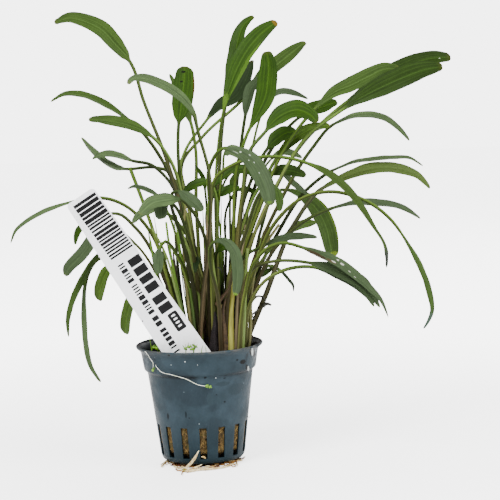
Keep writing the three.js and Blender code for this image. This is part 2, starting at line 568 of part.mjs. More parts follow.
function spread() {
  leaves.forEach(refine);
  const middleDepth = ({ depth: [foot, tip] }) => foot + 0.4 * (tip - foot);
  [...leaves].sort((a, b) => middleDepth(a) - middleDepth(b)).forEach((leaf, i) => { leaf.rank = i; });
  const plate = plateBalls();
  let worst = 0;
  for (let round = 0; round < spreadRounds; round++) {
    const pairs = closePairs([...leaves.flatMap(balls), ...plate]);
    worst = Math.max(0, ...pairs.map((pair) => pair.need));
    if (pairs.length === 0) break;
    const sums = new Map(leaves.map((leaf) => [leaf, {
      push: leaf.depths.map(() => 0), weight: leaf.depths.map(() => 1e-6),
    }]));
    pairs.forEach(({ a, b, room }) => {
      const sign = b.leaf ? -1 : 1;   // the leaf of lower rank is in front, the label before them all
      const push = sign * (room - sign * (a.y - b.y));
      slide(a.leaf, a.at, b.leaf ? push / 2 : push, sums);
      if (b.leaf) slide(b.leaf, b.at, -push / 2, sums);
    });
    sums.forEach(({ push, weight }, leaf) => {
      const step = push.map((p, i) => p / Math.max(weight[i], 0.5));
      const near = (i) => step[Math.min(Math.max(i, 0), step.length - 1)];
      const moved = leaf.shifts.map((s, i) => s + 0.2 * near(i - 1) + 0.7 * near(i) + 0.2 * near(i + 1));
      leaf.shifts = moved.map((s, i) => (
        i === 0 || i === moved.length - 1 ? s : s + 0.08 * (moved[i - 1] + moved[i + 1] - 2 * s)));
      leaf.depths = leaf.plannedDepths.map((d, i) => d + leaf.shifts[i]);
    });
  }
  return worst;
}

spread();
leaves.forEach((leaf) => add(leaf.name, makeLeaf(leaf), leaf.finish));

// A round thread through points, with flat ends
function makeThread(points, radius) {
  const sides = 5;
  const curve = new THREE.CatmullRomCurve3(points);
  const steps = Math.ceil(curve.getLength() / threadStep);
  const rings = [];
  let across = new THREE.Vector3(0, 0, 1);
  for (let i = 0; i <= steps; i++) {
    const centre = curve.getPointAt(i / steps);
    const along = curve.getTangentAt(i / steps);
    across = across.clone().addScaledVector(along, -across.dot(along)).normalize();
    const beside = new THREE.Vector3().crossVectors(across, along);
    rings.push([...Array(sides).keys()].map((k) => {
      const angle = (2 * Math.PI * k) / sides;
      return centre.clone()
        .addScaledVector(beside, radius * Math.cos(angle))
        .addScaledVector(across, radius * Math.sin(angle));
    }));
  }
  return skin(rings, curve.getPointAt(0), curve.getPointAt(1));
}

// A point that the front view sees at (x, z), lying on the outside of the pot
function onPot(x, z, clearance) {
  let spot = place(x, z, -20);
  for (let i = 0; i < 12; i++) {
    const height = Math.min(Math.max(spot.z - potBase, 0), potHeight - 1);
    const radius = radiusAt(potOutside, height) + clearance;
    spot = place(x, z, -Math.sqrt(Math.max(radius ** 2 - spot.x ** 2, 0)));
  }
  return spot;
}

const seedlings = {
  seedling_short: [[-22.6, 47], [-21.6, 45.5], [-20.4, 43.8], [-20.5, 41.1]],
  seedling_long: [[-19.5, 42.9], [-17.5, 40.1], [-12.3, 38.2], [-6.3, 36.2], [-0.4, 33.2], [2.2, 32.8],
    [4.4, 31.9]],
};

// The root mat: a flat felt under the pot with strands that run out of it, one of them up the pot
const feltRadius = 14;
const feltThickness = 1.5;
const strandRadius = 0.75;
const flatHeight = 0.65;       // middle of a strand that lies on the surface
const strands = [
  [[16.8, -3.9], [9.4, -10.2], [-1.2, -17.3], [-8.4, -19], [-12, -16.5], [-10, -8]],
  [[15.9, 2.5], [5.1, -9.8], [0.8, -12.9], [-3, -9]],
  [[-17.6, -12], [-17, 1.5], [-10, 3]],
  [[-15.7, 1.1], [-8.5, -15.1], [-1, -6.6]],
  [[17, 6], [12, 12], [5, 13], [0, 8]],
  [[-17, 4], [-14, 11], [-7, 13], [-2, 8]],
  [[-11, -15], [-8.4, -19.2], [-6.1, -19.4, 2.5], [-3.5, -19.7, 5.5], [-1.7, -20, 8.4]],
];

function makeRootMat() {
  const outline = new THREE.Shape();
  for (let i = 0; i < 20; i++) {
    const angle = (i / 20) * 2 * Math.PI;
    const radius = feltRadius + Math.sin(3 * angle) + 0.8 * Math.sin(5 * angle + 1);
    if (i === 0) outline.moveTo(radius, 0);
    else outline.lineTo(radius * Math.cos(angle), radius * Math.sin(angle));
  }
  const felt = new THREE.ExtrudeGeometry(outline, { depth: feltThickness, bevelEnabled: false });
  let mat = toSolid(felt);
  for (const strand of strands) {
    const points = strand.map(([x, y, z = flatHeight]) => new THREE.Vector3(x, y, z));
    mat = mat.add(toSolid(makeThread(points, strandRadius)));
  }
  const below = new THREE.BoxGeometry(80, 80, 2);
  below.translate(0, 0, -1);
  return toGeometry(mat.subtract(toSolid(below)));
}

add('pot', makePot(), 'pot');
add('rockwool', makeRockwool(), 'rockwool');
add('label', labelPlate(0), 'label');
add('root_mat', makeRootMat(), 'root');
for (const [name, route] of Object.entries(seedlings)) {
  const points = route.map(([x, z]) => onPot(x, z, threadRadius + 2 * gap));
  add(name, makeThread(points, threadRadius), 'seedling');
}

export default plant;
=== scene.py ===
import json
import math
import random

import bmesh
import bpy
import numpy as np
from mathutils import Matrix, Vector, noise


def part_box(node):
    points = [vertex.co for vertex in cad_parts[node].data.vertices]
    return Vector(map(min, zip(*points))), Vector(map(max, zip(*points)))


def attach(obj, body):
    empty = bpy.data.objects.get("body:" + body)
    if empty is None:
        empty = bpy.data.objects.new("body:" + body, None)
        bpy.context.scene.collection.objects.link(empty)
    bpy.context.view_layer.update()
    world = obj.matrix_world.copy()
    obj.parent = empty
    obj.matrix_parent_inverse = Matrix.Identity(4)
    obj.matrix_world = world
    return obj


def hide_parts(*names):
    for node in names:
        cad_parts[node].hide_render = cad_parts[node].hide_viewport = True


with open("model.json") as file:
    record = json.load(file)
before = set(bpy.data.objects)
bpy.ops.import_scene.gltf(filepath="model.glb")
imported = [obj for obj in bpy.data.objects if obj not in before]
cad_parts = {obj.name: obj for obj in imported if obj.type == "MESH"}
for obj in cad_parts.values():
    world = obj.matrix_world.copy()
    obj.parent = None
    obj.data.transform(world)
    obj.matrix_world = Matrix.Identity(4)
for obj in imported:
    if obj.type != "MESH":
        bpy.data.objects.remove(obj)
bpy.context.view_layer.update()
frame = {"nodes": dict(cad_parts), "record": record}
mm = 0.001
print("frame loaded:", len(frame["nodes"]), "nodes")

# camera and studio light

view = {
    "place": (0.0234, -0.735, 0.1649),
    "pitchDown": 5.7,      # degrees
    "roll": -2.0,
    "lens": 123.3,
}
studio = {
    "sky": 0.7,            # strength that lights the object
    "backdrop": 5.2,       # strength that the camera sees behind it
    "floorGlow": (2.3, 4.3),   # what the camera sees added near the pot and far from it
    "key": 24,
    "fill": 14,
    "back": 7,
}


def makeCamera(v):
    data = bpy.data.cameras.new("camera")
    data.lens = v["lens"]
    data.sensor_width = 36
    data.clip_start = 0.05
    camera = bpy.data.objects.new("camera", data)
    bpy.context.scene.collection.objects.link(camera)
    turn = Matrix.Rotation(math.radians(90 - v["pitchDown"]), 4, "X")
    roll = Matrix.Rotation(math.radians(v["roll"]), 4, "Z")
    camera.matrix_world = Matrix.Translation(v["place"]) @ turn @ roll
    bpy.context.scene.camera = camera


def makeLight(name, place, target, size, power):
    data = bpy.data.lights.new(name, "AREA")
    data.energy = power
    data.size = size
    light = bpy.data.objects.new(name, data)
    bpy.context.scene.collection.objects.link(light)
    aim = (Vector(target) - Vector(place)).to_track_quat("-Z", "Y")
    light.matrix_world = Matrix.Translation(place) @ aim.to_matrix().to_4x4()


def makeStudio(s):
    world = bpy.data.worlds.new("studio")
    bpy.context.scene.world = world
    world.use_nodes = True
    tree = world.node_tree
    sky = tree.nodes["Background"]
    sky.inputs["Color"].default_value = (1, 1, 1, 1)
    seen = tree.nodes.new("ShaderNodeLightPath").outputs["Is Camera Ray"]
    strength = tree.nodes.new("ShaderNodeMapRange")
    strength.inputs["To Min"].default_value = s["sky"]
    strength.inputs["To Max"].default_value = s["backdrop"]
    tree.links.new(seen, strength.inputs["Value"])
    tree.links.new(strength.outputs[0], sky.inputs["Strength"])
    middle = (0.01, 0, 0.1)
    makeLight("keyLight", (-0.5, -0.7, 0.9), middle, 0.5, s["key"])
    makeLight("fillLight", (0.8, -0.5, 0.5), middle, 0.7, s["fill"])
    makeLight("backLight", (0.2, 0.8, 0.8), middle, 0.7, s["back"])


makeCamera(view)
makeStudio(studio)

# shader helpers


def connect(tree, socket, value):
    if isinstance(value, bpy.types.NodeSocket):
        tree.links.new(value, socket)
    else:
        socket.default_value = value


def addNode(tree, kind, inputs=None, **settings):
    n = tree.nodes.new(kind)
    for key, value in settings.items():
        setattr(n, key, value)
    for key, value in (inputs or {}).items():
        connect(tree, n.inputs[key], value)
    return n


def mathNode(tree, operation, a, b=None, c=None, clamp=False):
    values = {i: v for i, v in enumerate((a, b, c)) if v is not None}
    return addNode(tree, "ShaderNodeMath", values, operation=operation, use_clamp=clamp).outputs[0]


def times(tree, a, b):
    return mathNode(tree, "MULTIPLY", a, b)


def ramp(tree, value, low, high, a=0.0, b=1.0):
    inputs = {0: value, 1: low, 2: high, 3: a, 4: b}
    return addNode(tree, "ShaderNodeMapRange", inputs, interpolation_type="SMOOTHSTEP").outputs[0]


def placeOf(tree):
    return addNode(tree, "ShaderNodeNewGeometry").outputs["Position"]


def splitOf(tree, vector):
    return addNode(tree, "ShaderNodeSeparateXYZ", {0: vector}).outputs


def stretchOf(tree, vector, scale):
    return addNode(tree, "ShaderNodeMapping", {"Vector": vector, "Scale": scale}).outputs[0]


def noiseOf(tree, vector, scale, detail, **others):
    inputs = {"Vector": vector, "Scale": scale, "Detail": detail, **others}
    return addNode(tree, "ShaderNodeTexNoise", inputs).outputs["Fac"]


def rgb(text):
    # sRGB hex to linear
    values = [int(text[i:i + 2], 16) / 255 for i in (0, 2, 4)]
    return tuple(((v + 0.055) / 1.055) ** 2.4 if v > 0.04045 else v / 12.92 for v in values) + (1,)


def mixColor(tree, share, a, b):
    return addNode(tree, "ShaderNodeMix", {0: share, 6: a, 7: b}, data_type="RGBA").outputs[2]


def tinted(tree, color, mask, strength, tint):
    # a tint laid over a colour by a mask times a strength
    return mixColor(tree, times(tree, mask, strength), color, rgb(tint))


def newGroup(name, inputs, outputs):
    # every socket is a number; inputs come with their defaults
    tree = bpy.data.node_groups.new(name, "ShaderNodeTree")
    for label, default in inputs.items():
        socket = tree.interface.new_socket(label, in_out="INPUT", socket_type="NodeSocketFloat")
        socket.default_value = default
    for label in outputs:
        tree.interface.new_socket(label, in_out="OUTPUT", socket_type="NodeSocketFloat")
    return tree, tree.nodes.new("NodeGroupInput").outputs, tree.nodes.new("NodeGroupOutput").inputs


def useGroup(tree, group, inputs):
    n = tree.nodes.new("ShaderNodeGroup")
    n.node_tree = group
    for key, value in inputs.items():
        connect(tree, n.inputs[key], value)
    return n.outputs


def makeSpecks():
    # scattered dots of dirt or lime, size in millimetres
    tree, put, out = newGroup("specks", {"Size": 0.8, "Share": 0.1}, ["Mask"])
    place = placeOf(tree)
    scale = mathNode(tree, "DIVIDE", 1 / mm, put["Size"])
    inputs = {"Vector": place, "Scale": scale, "Randomness": 1.0}
    cells = addNode(tree, "ShaderNodeTexVoronoi", inputs).outputs
    chance = times(tree, cells["Color"], noiseOf(tree, place, 90.0, 3.0))
    some = mathNode(tree, "LESS_THAN", chance, put["Share"])
    tree.links.new(times(tree, some, ramp(tree, cells["Distance"], 0.34, 0.2)), out["Mask"])
    return tree


def makeMottle():
    # soft cloudy variation, size in millimetres
    tree, put, out = newGroup("mottle", {"Size": 5.0, "Contrast": 1.0}, ["Value"])
    scale = mathNode(tree, "DIVIDE", 1 / mm, put["Size"])
    centred = mathNode(tree, "SUBTRACT", noiseOf(tree, placeOf(tree), scale, 4.0, Roughness=0.6), 0.5)
    gain = times(tree, put["Contrast"], 2.0)
    tree.links.new(mathNode(tree, "MULTIPLY_ADD", centred, gain, 0.5, clamp=True), out["Value"])
    return tree


def makeLeafPattern():
    # from a leaf's own map: across in U, 2 more on its underside, and along in V
    labels = ("Midrib", "Vein", "Stripe", "Across", "Away", "Along", "Under", "Height")
    tree, put, out = newGroup("leafPattern", {"Veins": 7.0}, labels)
    parts = splitOf(tree, addNode(tree, "ShaderNodeUVMap", uv_map="leafMap").outputs["UV"])
    under = mathNode(tree, "GREATER_THAN", parts["X"], 1.5)
    across = mathNode(tree, "MULTIPLY_ADD", under, -2.0, parts["X"])
    away = mathNode(tree, "ABSOLUTE", mathNode(tree, "MULTIPLY_ADD", across, 2.0, -1.0))
    bent = mathNode(tree, "MULTIPLY_ADD", noiseOf(tree, placeOf(tree), 60.0, 2.0), 0.05, away)
    wave = mathNode(tree, "SINE", times(tree, bent, times(tree, put["Veins"], 3.1416)))
    vein = ramp(tree, wave, 0.75, 1.0)
    midrib = ramp(tree, away, 0.09, 0.02)
    lanes = addNode(tree, "ShaderNodeCombineXYZ", {"X": times(tree, across, 9.0), "Y": parts["Y"]})
    stripe = ramp(tree, noiseOf(tree, lanes.outputs[0], 1.3, 3.0), 0.38, 0.62)
    height = mathNode(tree, "SUBTRACT", times(tree, vein, 0.4), midrib)
    for label, value in zip(labels, (midrib, vein, stripe, across, away, parts["Y"], under, height)):
        tree.links.new(value, out[label])
    return tree


blotLabels = ("Across", "Along", "MiddleAcross", "MiddleAlong", "HalfAcross", "HalfAlong")


def makeBlot():
    # a ragged spot on a map, from its middle and its half sizes
    tree, put, out = newGroup("blot", dict.fromkeys(blotLabels, 0.1), ["Mask"])
    x, y = (mathNode(tree, "DIVIDE", mathNode(tree, "SUBTRACT", put[way], put["Middle" + way]),
                     put["Half" + way]) for way in ("Across", "Along"))
    away = mathNode(tree, "SQRT", mathNode(tree, "ADD", times(tree, x, x), times(tree, y, y)))
    ragged = mathNode(tree, "SUBTRACT", away, 0.45)
    ragged = mathNode(tree, "MULTIPLY_ADD", noiseOf(tree, placeOf(tree), 1500.0, 3.0), 0.9, ragged)
    tree.links.new(ramp(tree, ragged, 1.1, 0.85), out["Mask"])
    return tree


specksGroup = makeSpecks()
mottleGroup = makeMottle()
leafPatternGroup = makeLeafPattern()
blotGroup = makeBlot()


def specksOf(tree, size, share):
    return useGroup(tree, specksGroup, {"Size": size, "Share": share})["Mask"]


def cloudOf(tree, size, contrast):
    return useGroup(tree, mottleGroup, {"Size": size, "Contrast": contrast})["Value"]


def cloudTint(tree, size, contrast, low, high):
    return mixColor(tree, cloudOf(tree, size, contrast), rgb(low), rgb(high))


def cloudRange(tree, size, contrast, low, high):
    return ramp(tree, cloudOf(tree, size, contrast), 0, 1, low, high)


def blotOf(tree, *values):
    # values in the order of the group's inputs
    return useGroup(tree, blotGroup, dict(zip(blotLabels, values)))["Mask"]


def newMaterial(name, roughness, specular=0.5):
    m = bpy.data.materials.new(name)
    m.use_nodes = True
    shader = m.node_tree.nodes["Principled BSDF"]
    shader.inputs["Roughness"].default_value = roughness
    shader.inputs["Specular IOR Level"].default_value = specular
    return m, m.node_tree, shader


def setSurface(tree, shader, color, roughness=None):
    tree.links.new(color, shader.inputs["Base Color"])
    if roughness is not None:
        tree.links.new(roughness, shader.inputs["Roughness"])


def setBump(tree, shader, height, distance, strength=1.0):
    # the distance in millimetres
    inputs = {"Height": height, "Distance": distance * mm, "Strength": strength}
    tree.links.new(addNode(tree, "ShaderNodeBump", inputs).outputs[0], shader.inputs["Normal"])


def cloudMaterial(name, roughness, specular, cloud, tints, grain, bump):
    # two tints in clouds over a fine grain, each a size and a contrast
    m, tree, shader = newMaterial(name, roughness, specular)
    setSurface(tree, shader, cloudTint(tree, *cloud, *tints))
    setBump(tree, shader, cloudOf(tree, *grain), bump)
    return m


# mesh helpers


def unit(v):
    return v / max(np.linalg.norm(v), 1e-12)


def linkPiece(name, mesh, materials, slot, *stands, smooth=True):
    piece = bpy.data.objects.new(name, mesh)
    bpy.context.scene.collection.objects.link(piece)
    for m in materials:
        mesh.materials.append(m)
    for face in mesh.polygons:
        face.use_smooth = smooth
    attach(piece, "root")
    if stands:
        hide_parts(*stands)
    return piece


def applyModifiers(piece):
    ready = piece.evaluated_get(bpy.context.evaluated_depsgraph_get())
    mesh = bpy.data.meshes.new_from_object(ready)
    piece.modifiers.clear()
    piece.data = mesh


def smoothAlong(marks, values, at, between=False):
    # a curve through the values; between keeps it from passing beyond its neighbours' values
    values = np.asarray(values, float)
    flat = values.ndim == 1
    if flat:
        values = values[:, None]
    slopes = np.zeros_like(values)
    d = np.diff(marks)[:, None]
    rate = np.diff(values, axis=0) / d
    slopes[0], slopes[-1] = rate[0], rate[-1]
    if between:
        same = rate[:-1] * rate[1:] > 0
        total = np.where(same, rate[:-1] + rate[1:], 1)
        slopes[1:-1] = np.where(same, 2 * rate[:-1] * rate[1:] / total, 0)
    else:
        slopes[1:-1] = (rate[:-1] * d[1:] + rate[1:] * d[:-1]) / (d[1:] + d[:-1])
    k = np.clip(np.searchsorted(marks, at, side="right") - 1, 0, len(marks) - 2)
    h = (marks[k + 1] - marks[k])[:, None]
    t = ((at - marks[k])[:, None]) / h
    out = ((2 * t ** 3 - 3 * t ** 2 + 1) * values[k] + (t ** 3 - 2 * t ** 2 + t) * h * slopes[k]
           + (3 * t ** 2 - 2 * t ** 3) * values[k + 1] + (t ** 3 - t ** 2) * h * slopes[k + 1])
    return out[:, 0] if flat else out


def marksOf(points):
    return np.concatenate([[0], np.cumsum(np.linalg.norm(np.diff(points, axis=0), axis=1))])


def curveThrough(points, step):
    points = np.asarray(points, float)
    marks = marksOf(points)
    count = max(2, math.ceil(marks[-1] / step))
    return smoothAlong(marks, points, np.linspace(0, marks[-1], count + 1))


def inFront(x, z, y):
    # the point at the depth y that the camera sees at (x, z) on the plane y = 0
    eye = np.array(view["place"])
    spot = np.array([x * mm, 0, z * mm])
    return eye + (spot - eye) * (y * mm - eye[1]) / -eye[1]


def newSoup():
    return {"points": [], "faces": [], "kinds": [], "map": []}


def ringFaces(start, rows, sides):
    # quads between rows of points that close round
    faces = []
    for i in range(rows):
        for k in range(sides):
            a, b = start + i * sides + k, start + i * sides + (k + 1) % sides
            faces.append((a, b, b + sides, a + sides))
    return faces


def addTube(soup, points, radii, sides=6, kind=0, flat=1.0):
    points = np.asarray(points, float)
    last = len(points) - 1
    along = np.gradient(points, axis=0)
    side = np.array((0.31, 0.2, 0.93))   # any way that no tube runs along
    start = len(soup["points"])
    for i, point in enumerate(points):
        t = unit(along[i])
        side = unit(side - t * (side @ t))
        beside = np.cross(t, side)
        for k in range(sides):
            a = 2 * math.pi * k / sides
            soup["points"].append(point + radii[i] * (math.cos(a) * side + flat * math.sin(a) * beside))
            soup["map"].append((k / sides, i / last))
    soup["faces"] += ringFaces(start, last, sides)
    soup["faces"].append(tuple(start + k for k in reversed(range(sides))))
    soup["faces"].append(tuple(start + last * sides + k for k in range(sides)))
    soup["kinds"] += [kind] * (last * sides + 2)


def taper(line, first, last, power=1):
    # radii from one end of a line to the other, in millimetres
    return [(first + (last - first) * k ** power) * mm for k in np.linspace(0, 1, len(line))]

def addLump(soup, middle, sizes, kind=0, seed=0, rough=0.25, rows=7, sides=9):
    # a closed uneven lump
    start = len(soup["points"])
    for i in range(rows + 1):
        up = math.pi * i / rows
        for k in range(sides):
            a = 2 * math.pi * k / sides
            d = np.array([math.sin(up) * math.cos(a), math.sin(up) * math.sin(a), math.cos(up)])
            swell = 1 + rough * noise.noise(Vector(d) * 1.7 + Vector((seed, 0, 0)))
            soup["points"].append(np.array(middle) + d * np.array(sizes) * swell)
            soup["map"].append((k / sides, i / rows))
    soup["faces"] += [(a, d, c, b) for a, b, c, d in ringFaces(start, rows, sides)]
    soup["kinds"] += [kind] * (rows * sides)


def finishSoup(name, soup, materials, slot, *stands):
    mesh = bpy.data.meshes.new(name)
    mesh.from_pydata([tuple(p) for p in soup["points"]], [], soup["faces"])
    mesh.polygons.foreach_set("material_index", soup["kinds"])
    pieceMap = mesh.uv_layers.new(name="pieceMap")
    pieceMap.data.foreach_set("uv", [v for loop in mesh.loops for v in soup["map"][loop.vertex_index]])
    return linkPiece(name, mesh, materials, slot, *stands)


def pieceMapOf(tree):
    return addNode(tree, "ShaderNodeUVMap", uv_map="pieceMap").outputs["UV"]


# leaves

# each look's blade, its darker clouds, its veins, its underside and its tip
leafLooks = {
    "deep": {"blade": "2b440c", "deep": "1c3008", "vein": "3e5c16", "under": "2e4412", "tip": "3c3e12",
             "rough": 0.5, "midrib": 0.45, "leaves": "middle_1 middle_5 middle_7 middle_8 middle_12 "
             "middle_13 middle_14 right_2 right_3 right_4"},
    "dark": {"blade": "24370f", "deep": "182608", "vein": "344e18", "under": "283a12", "tip": "343610",
             "rough": 0.5, "midrib": 0.45, "leaves": "right_6 right_7 right_13"},
    "bright": {"blade": "455e1f", "deep": "2f4312", "vein": "5a7a2c", "under": "475e26", "tip": "586222",
               "rough": 0.5, "midrib": 0.4, "leaves": "left_10 left_11 right_5 right_18"},
    "mid": {"blade": "364b1c", "deep": "263713", "vein": "4a6430", "under": "3b4e24", "tip": "464e1c",
            "rough": 0.52, "midrib": 0.4, "leaves": "left_1 left_2 left_3 left_8 middle_2 middle_9 right_1 "
            "right_11 right_12 right_15 right_16"},
    "pale": {"blade": "485b36", "deep": "35422a", "vein": "5c784a", "under": "4f603c", "tip": "565c2c",
             "rough": 0.55, "midrib": 0.35, "leaves": "left_4 left_5 left_6 left_9 left_12 left_13 middle_3 "
             "right_8 right_9 right_10"},
    "glaucous": {"blade": "3a492f", "deep": "2e3a25", "vein": "465836", "under": "3f4c34", "tip": "465028",
                 "rough": 0.55, "midrib": 0.25, "leaves": "left_7 left_14 left_15 left_16 middle_6 middle_10 "
                 "middle_11 right_14 right_17 right_19 right_20 right_21 right_22"},
    "dull": {"blade": "1e2c15", "deep": "16220e", "vein": "26361b", "under": "202d18", "tip": "3a3214",
             "rough": 0.55, "midrib": 0.25, "leaves": "middle_4"},
}
# colours of a stalk near the blade, at its middle and at its foot
stalkTones = {
    "green": {"top": "4a6420", "middle": "62702f", "foot": "66643a"},
    "olive": {"top": "445a26", "middle": "5a542f", "foot": "64583a"},
    "brown": {"top": "3e5020", "middle": "4e4630", "foot": "4a3c2a"},
    "light": {"top": "5a7630", "middle": "7c8248", "foot": "828250"},
    "dark": {"top": "2e4016", "middle": "2c2e18", "foot": "2a2118"},
    "dry": {"top": "4a5030", "middle": "4e4c34", "foot": "4a432e"},
}
toneOrder = ["green", "olive", "brown", "dark", "light"]
# stalks that differ from the others
ownTones = {"leaf_left_1": "brown", "leaf_middle_5": "green", "leaf_right_1": "green",
            "leaf_right_5": "light", "leaf_right_6": "light", "leaf_right_7": "light",
            "leaf_right_10": "dry", "leaf_right_16": "green", "stalk_cut": "green"}
# spots on single leaves: middle and half size across (0 to 1) and along the blade (1 to 2)
leafMarks = {
    "leaf_middle_1": [(0.56, 1.90, 0.13, 0.018, "0a1004"), (0.62, 1.73, 0.08, 0.016, "0c1206"),
                      (0.00, 1.70, 0.07, 0.220, "3c2c0a")],
    "leaf_middle_5": [(0.50, 1.98, 0.60, 0.022, "5c4a12"), (0.40, 1.02, 0.70, 0.160, "46621a"),
                      (0.90, 1.45, 0.12, 0.300, "3c5814")],
    "leaf_middle_10": [(0.30, 1.17, 0.025, 0.045, "9aa494"), (0.56, 1.22, 0.075, 0.014, "9aa494"),
                       (0.42, 1.37, 0.030, 0.012, "8c9886"), (0.70, 1.33, 0.028, 0.014, "96a090"),
                       (0.58, 1.43, 0.025, 0.011, "8c9886"), (0.50, 1.57, 0.028, 0.012, "848f7e"),
                       (0.48, 1.96, 0.22, 0.018, "44601c")],
    "leaf_middle_11": [(0.50, 1.99, 0.60, 0.026, "506c1e")],
    "leaf_right_7": [(0.45, 1.90, 0.05, 0.007, "a0a890")],
    "leaf_right_15": [(0.50, 1.98, 0.60, 0.060, "5a6c1a"), (0.96, 1.55, 0.07, 0.300, "445a18")],
    "leaf_right_16": [(0.50, 1.97, 0.60, 0.150, "3a4a3e")],
    "leaf_right_10": [(0.50, 1.50, 0.90, 0.600, "465728")],
    "leaf_right_11": [(0.50, 1.50, 0.90, 0.550, "2f4018"), (0.50, 1.97, 0.60, 0.110, "30362e")],
    # the pale spots on leaf_right_20 are painted highlights
    "leaf_right_20": [(0.20, 1.14, 0.26, 0.110, "302818"), (0.30, 1.29, 0.18, 0.055, "423a26"),
                      (0.40, 1.31, 0.10, 0.022, "b0b2a4"), (0.62, 1.38, 0.08, 0.020, "a4a698"),
                      (0.74, 1.33, 0.07, 0.012, "9c9e90"), (0.45, 1.47, 0.06, 0.014, "a0a294"),
                      (0.30, 1.54, 0.05, 0.012, "8c8e80")],
}


def makeLeafMaterial(name, look, tone, marks=()):
    k, s = leafLooks[look], stalkTones[tone]
    m, tree, shader = newMaterial(name, k["rough"], 0.07)
    pattern = useGroup(tree, leafPatternGroup, {"Veins": 6.0})
    across, along = pattern["Across"], pattern["Along"]
    fine = cloudOf(tree, 0.5, 1.0)
    tones = mathNode(tree, "MULTIPLY_ADD", pattern["Stripe"], 0.6, times(tree, cloudOf(tree, 5.0, 1.3), 0.4))
    blade = mixColor(tree, tones, rgb(k["deep"]), rgb(k["blade"]))
    lines = mathNode(tree, "MAXIMUM", times(tree, pattern["Vein"], 0.14),
                     times(tree, pattern["Midrib"], k["midrib"]))
    blade = mixColor(tree, lines, blade, rgb(k["vein"]))
    blade = tinted(tree, blade, pattern["Under"], 0.75, k["under"])
    blade = tinted(tree, blade, ramp(tree, along, 1.94, 2.0), 0.6, k["tip"])
    for *spot, tint in marks:
        blade = mixColor(tree, blotOf(tree, across, along, *spot), blade, rgb(tint))
    stalk = mixColor(tree, ramp(tree, along, 0.0, 0.45), rgb(s["foot"]), rgb(s["middle"]))
    stalk = mixColor(tree, ramp(tree, along, 0.35, 0.95), stalk, rgb(s["top"]))
    stalk = tinted(tree, stalk, fine, 0.35, "1a1208")
    # painted shade: the stalk is darker towards its sides, for a rounded look
    stalk = tinted(tree, stalk, ramp(tree, pattern["Away"], 0.4, 1.0), 0.75, "141506")
    color = mixColor(tree, ramp(tree, along, 0.97, 1.10), stalk, blade)
    setSurface(tree, shader, color, ramp(tree, fine, 0.0, 1.0, k["rough"] - 0.06, k["rough"] + 0.1))
    setBump(tree, shader, mathNode(tree, "MULTIPLY_ADD", fine, 0.4, pattern["Height"]), 0.1, 0.6)
    return m


def ringsOf(node):
    # a packed leaf's rings of points from its foot to its tip
    index, points, near, ids = {}, [], {}, []
    for v in node.data.vertices:
        key = tuple(round(c * 1e5) for c in v.co)
        if key not in index:
            index[key] = len(points)
            points.append(v.co.copy())
        ids.append(index[key])
    for e in node.data.edges:
        a, b = (ids[i] for i in e.vertices)
        if a != b:
            near.setdefault(a, set()).add(b)
            near.setdefault(b, set()).add(a)
    poles = [i for i in near if len(near[i]) == 6 and all(len(near[j]) == 5 for j in near[i])]
    crown = Vector((0.006, 0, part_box("rockwool")[1].z))
    foot = min(poles, key=lambda i: (points[i] - crown).length)
    tip = max(poles, key=lambda i: (points[i] - points[foot]).length)
    level, seen, rings = [tip], {tip}, []
    while level:
        step = []
        for i in level:
            step += [j for j in near[i] if j not in seen and j not in step]
        seen.update(step)
        level = step
        if len(step) > 1:
            rings.append(np.array([points[j] for j in step]))
    rings.reverse()
    return rings, np.array(points[tip])


def spineOf(node):
    # centre, across, face, half width and half thickness at each ring of a packed leaf
    rings, tip = ringsOf(node)
    spine = []
    for ring in rings:
        centre = ring.mean(0)
        spread = np.linalg.svd(ring - centre)
        across = spread[2][0]
        normal = spread[2][1]
        wide = np.abs((ring - centre) @ across).max()
        ends = ring[np.abs((ring - centre) @ across) > 0.9 * wide].mean(0)
        reach = (ring - ends) @ normal
        blade = spread[1][0] > 1.6 * spread[1][1]
        if (ends - centre) @ normal < 0:
            normal = -normal
        rise = 3 * abs((ends - centre) @ normal) if blade else 0
        thick = 0.5 * (np.ptp(reach) - 0.5 * rise) / 0.866 if blade else wide
        spine.append({"centre": centre - normal * rise * 0.667, "across": across, "face": normal,
                      "wide": wide, "thick": max(thick, 0.2 * mm), "rise": rise, "blade": blade})
    end = spine[-1]
    if np.linalg.norm(tip - end["centre"]) > 0.1 * mm:
        spine.append({**end, "centre": tip, "wide": 0.02 * mm, "thick": 0.02 * mm, "rise": 0})
    # directions run on smoothly from the widest ring both ways
    first = max(range(len(spine)), key=lambda i: spine[i]["wide"])
    for order in (range(first + 1, len(spine)), range(first - 1, -1, -1)):
        for i in order:
            before = spine[i - 1] if i > first else spine[i + 1]
            s = spine[i]
            if s["blade"]:
                if s["across"] @ before["across"] < 0:
                    s["across"] = -s["across"]
                if s["face"] @ before["face"] < 0:
                    s["face"] = -s["face"]
            else:
                lo, hi = spine[max(i - 1, 0)]["centre"], spine[min(i + 1, len(spine) - 1)]["centre"]
                along = unit(hi - lo)
                s["across"] = unit(before["across"] - along * (before["across"] @ along))
                s["face"] = unit(np.cross(along, s["across"]))
                if s["face"] @ before["face"] < 0:
                    s["face"] = -s["face"]
    return spine


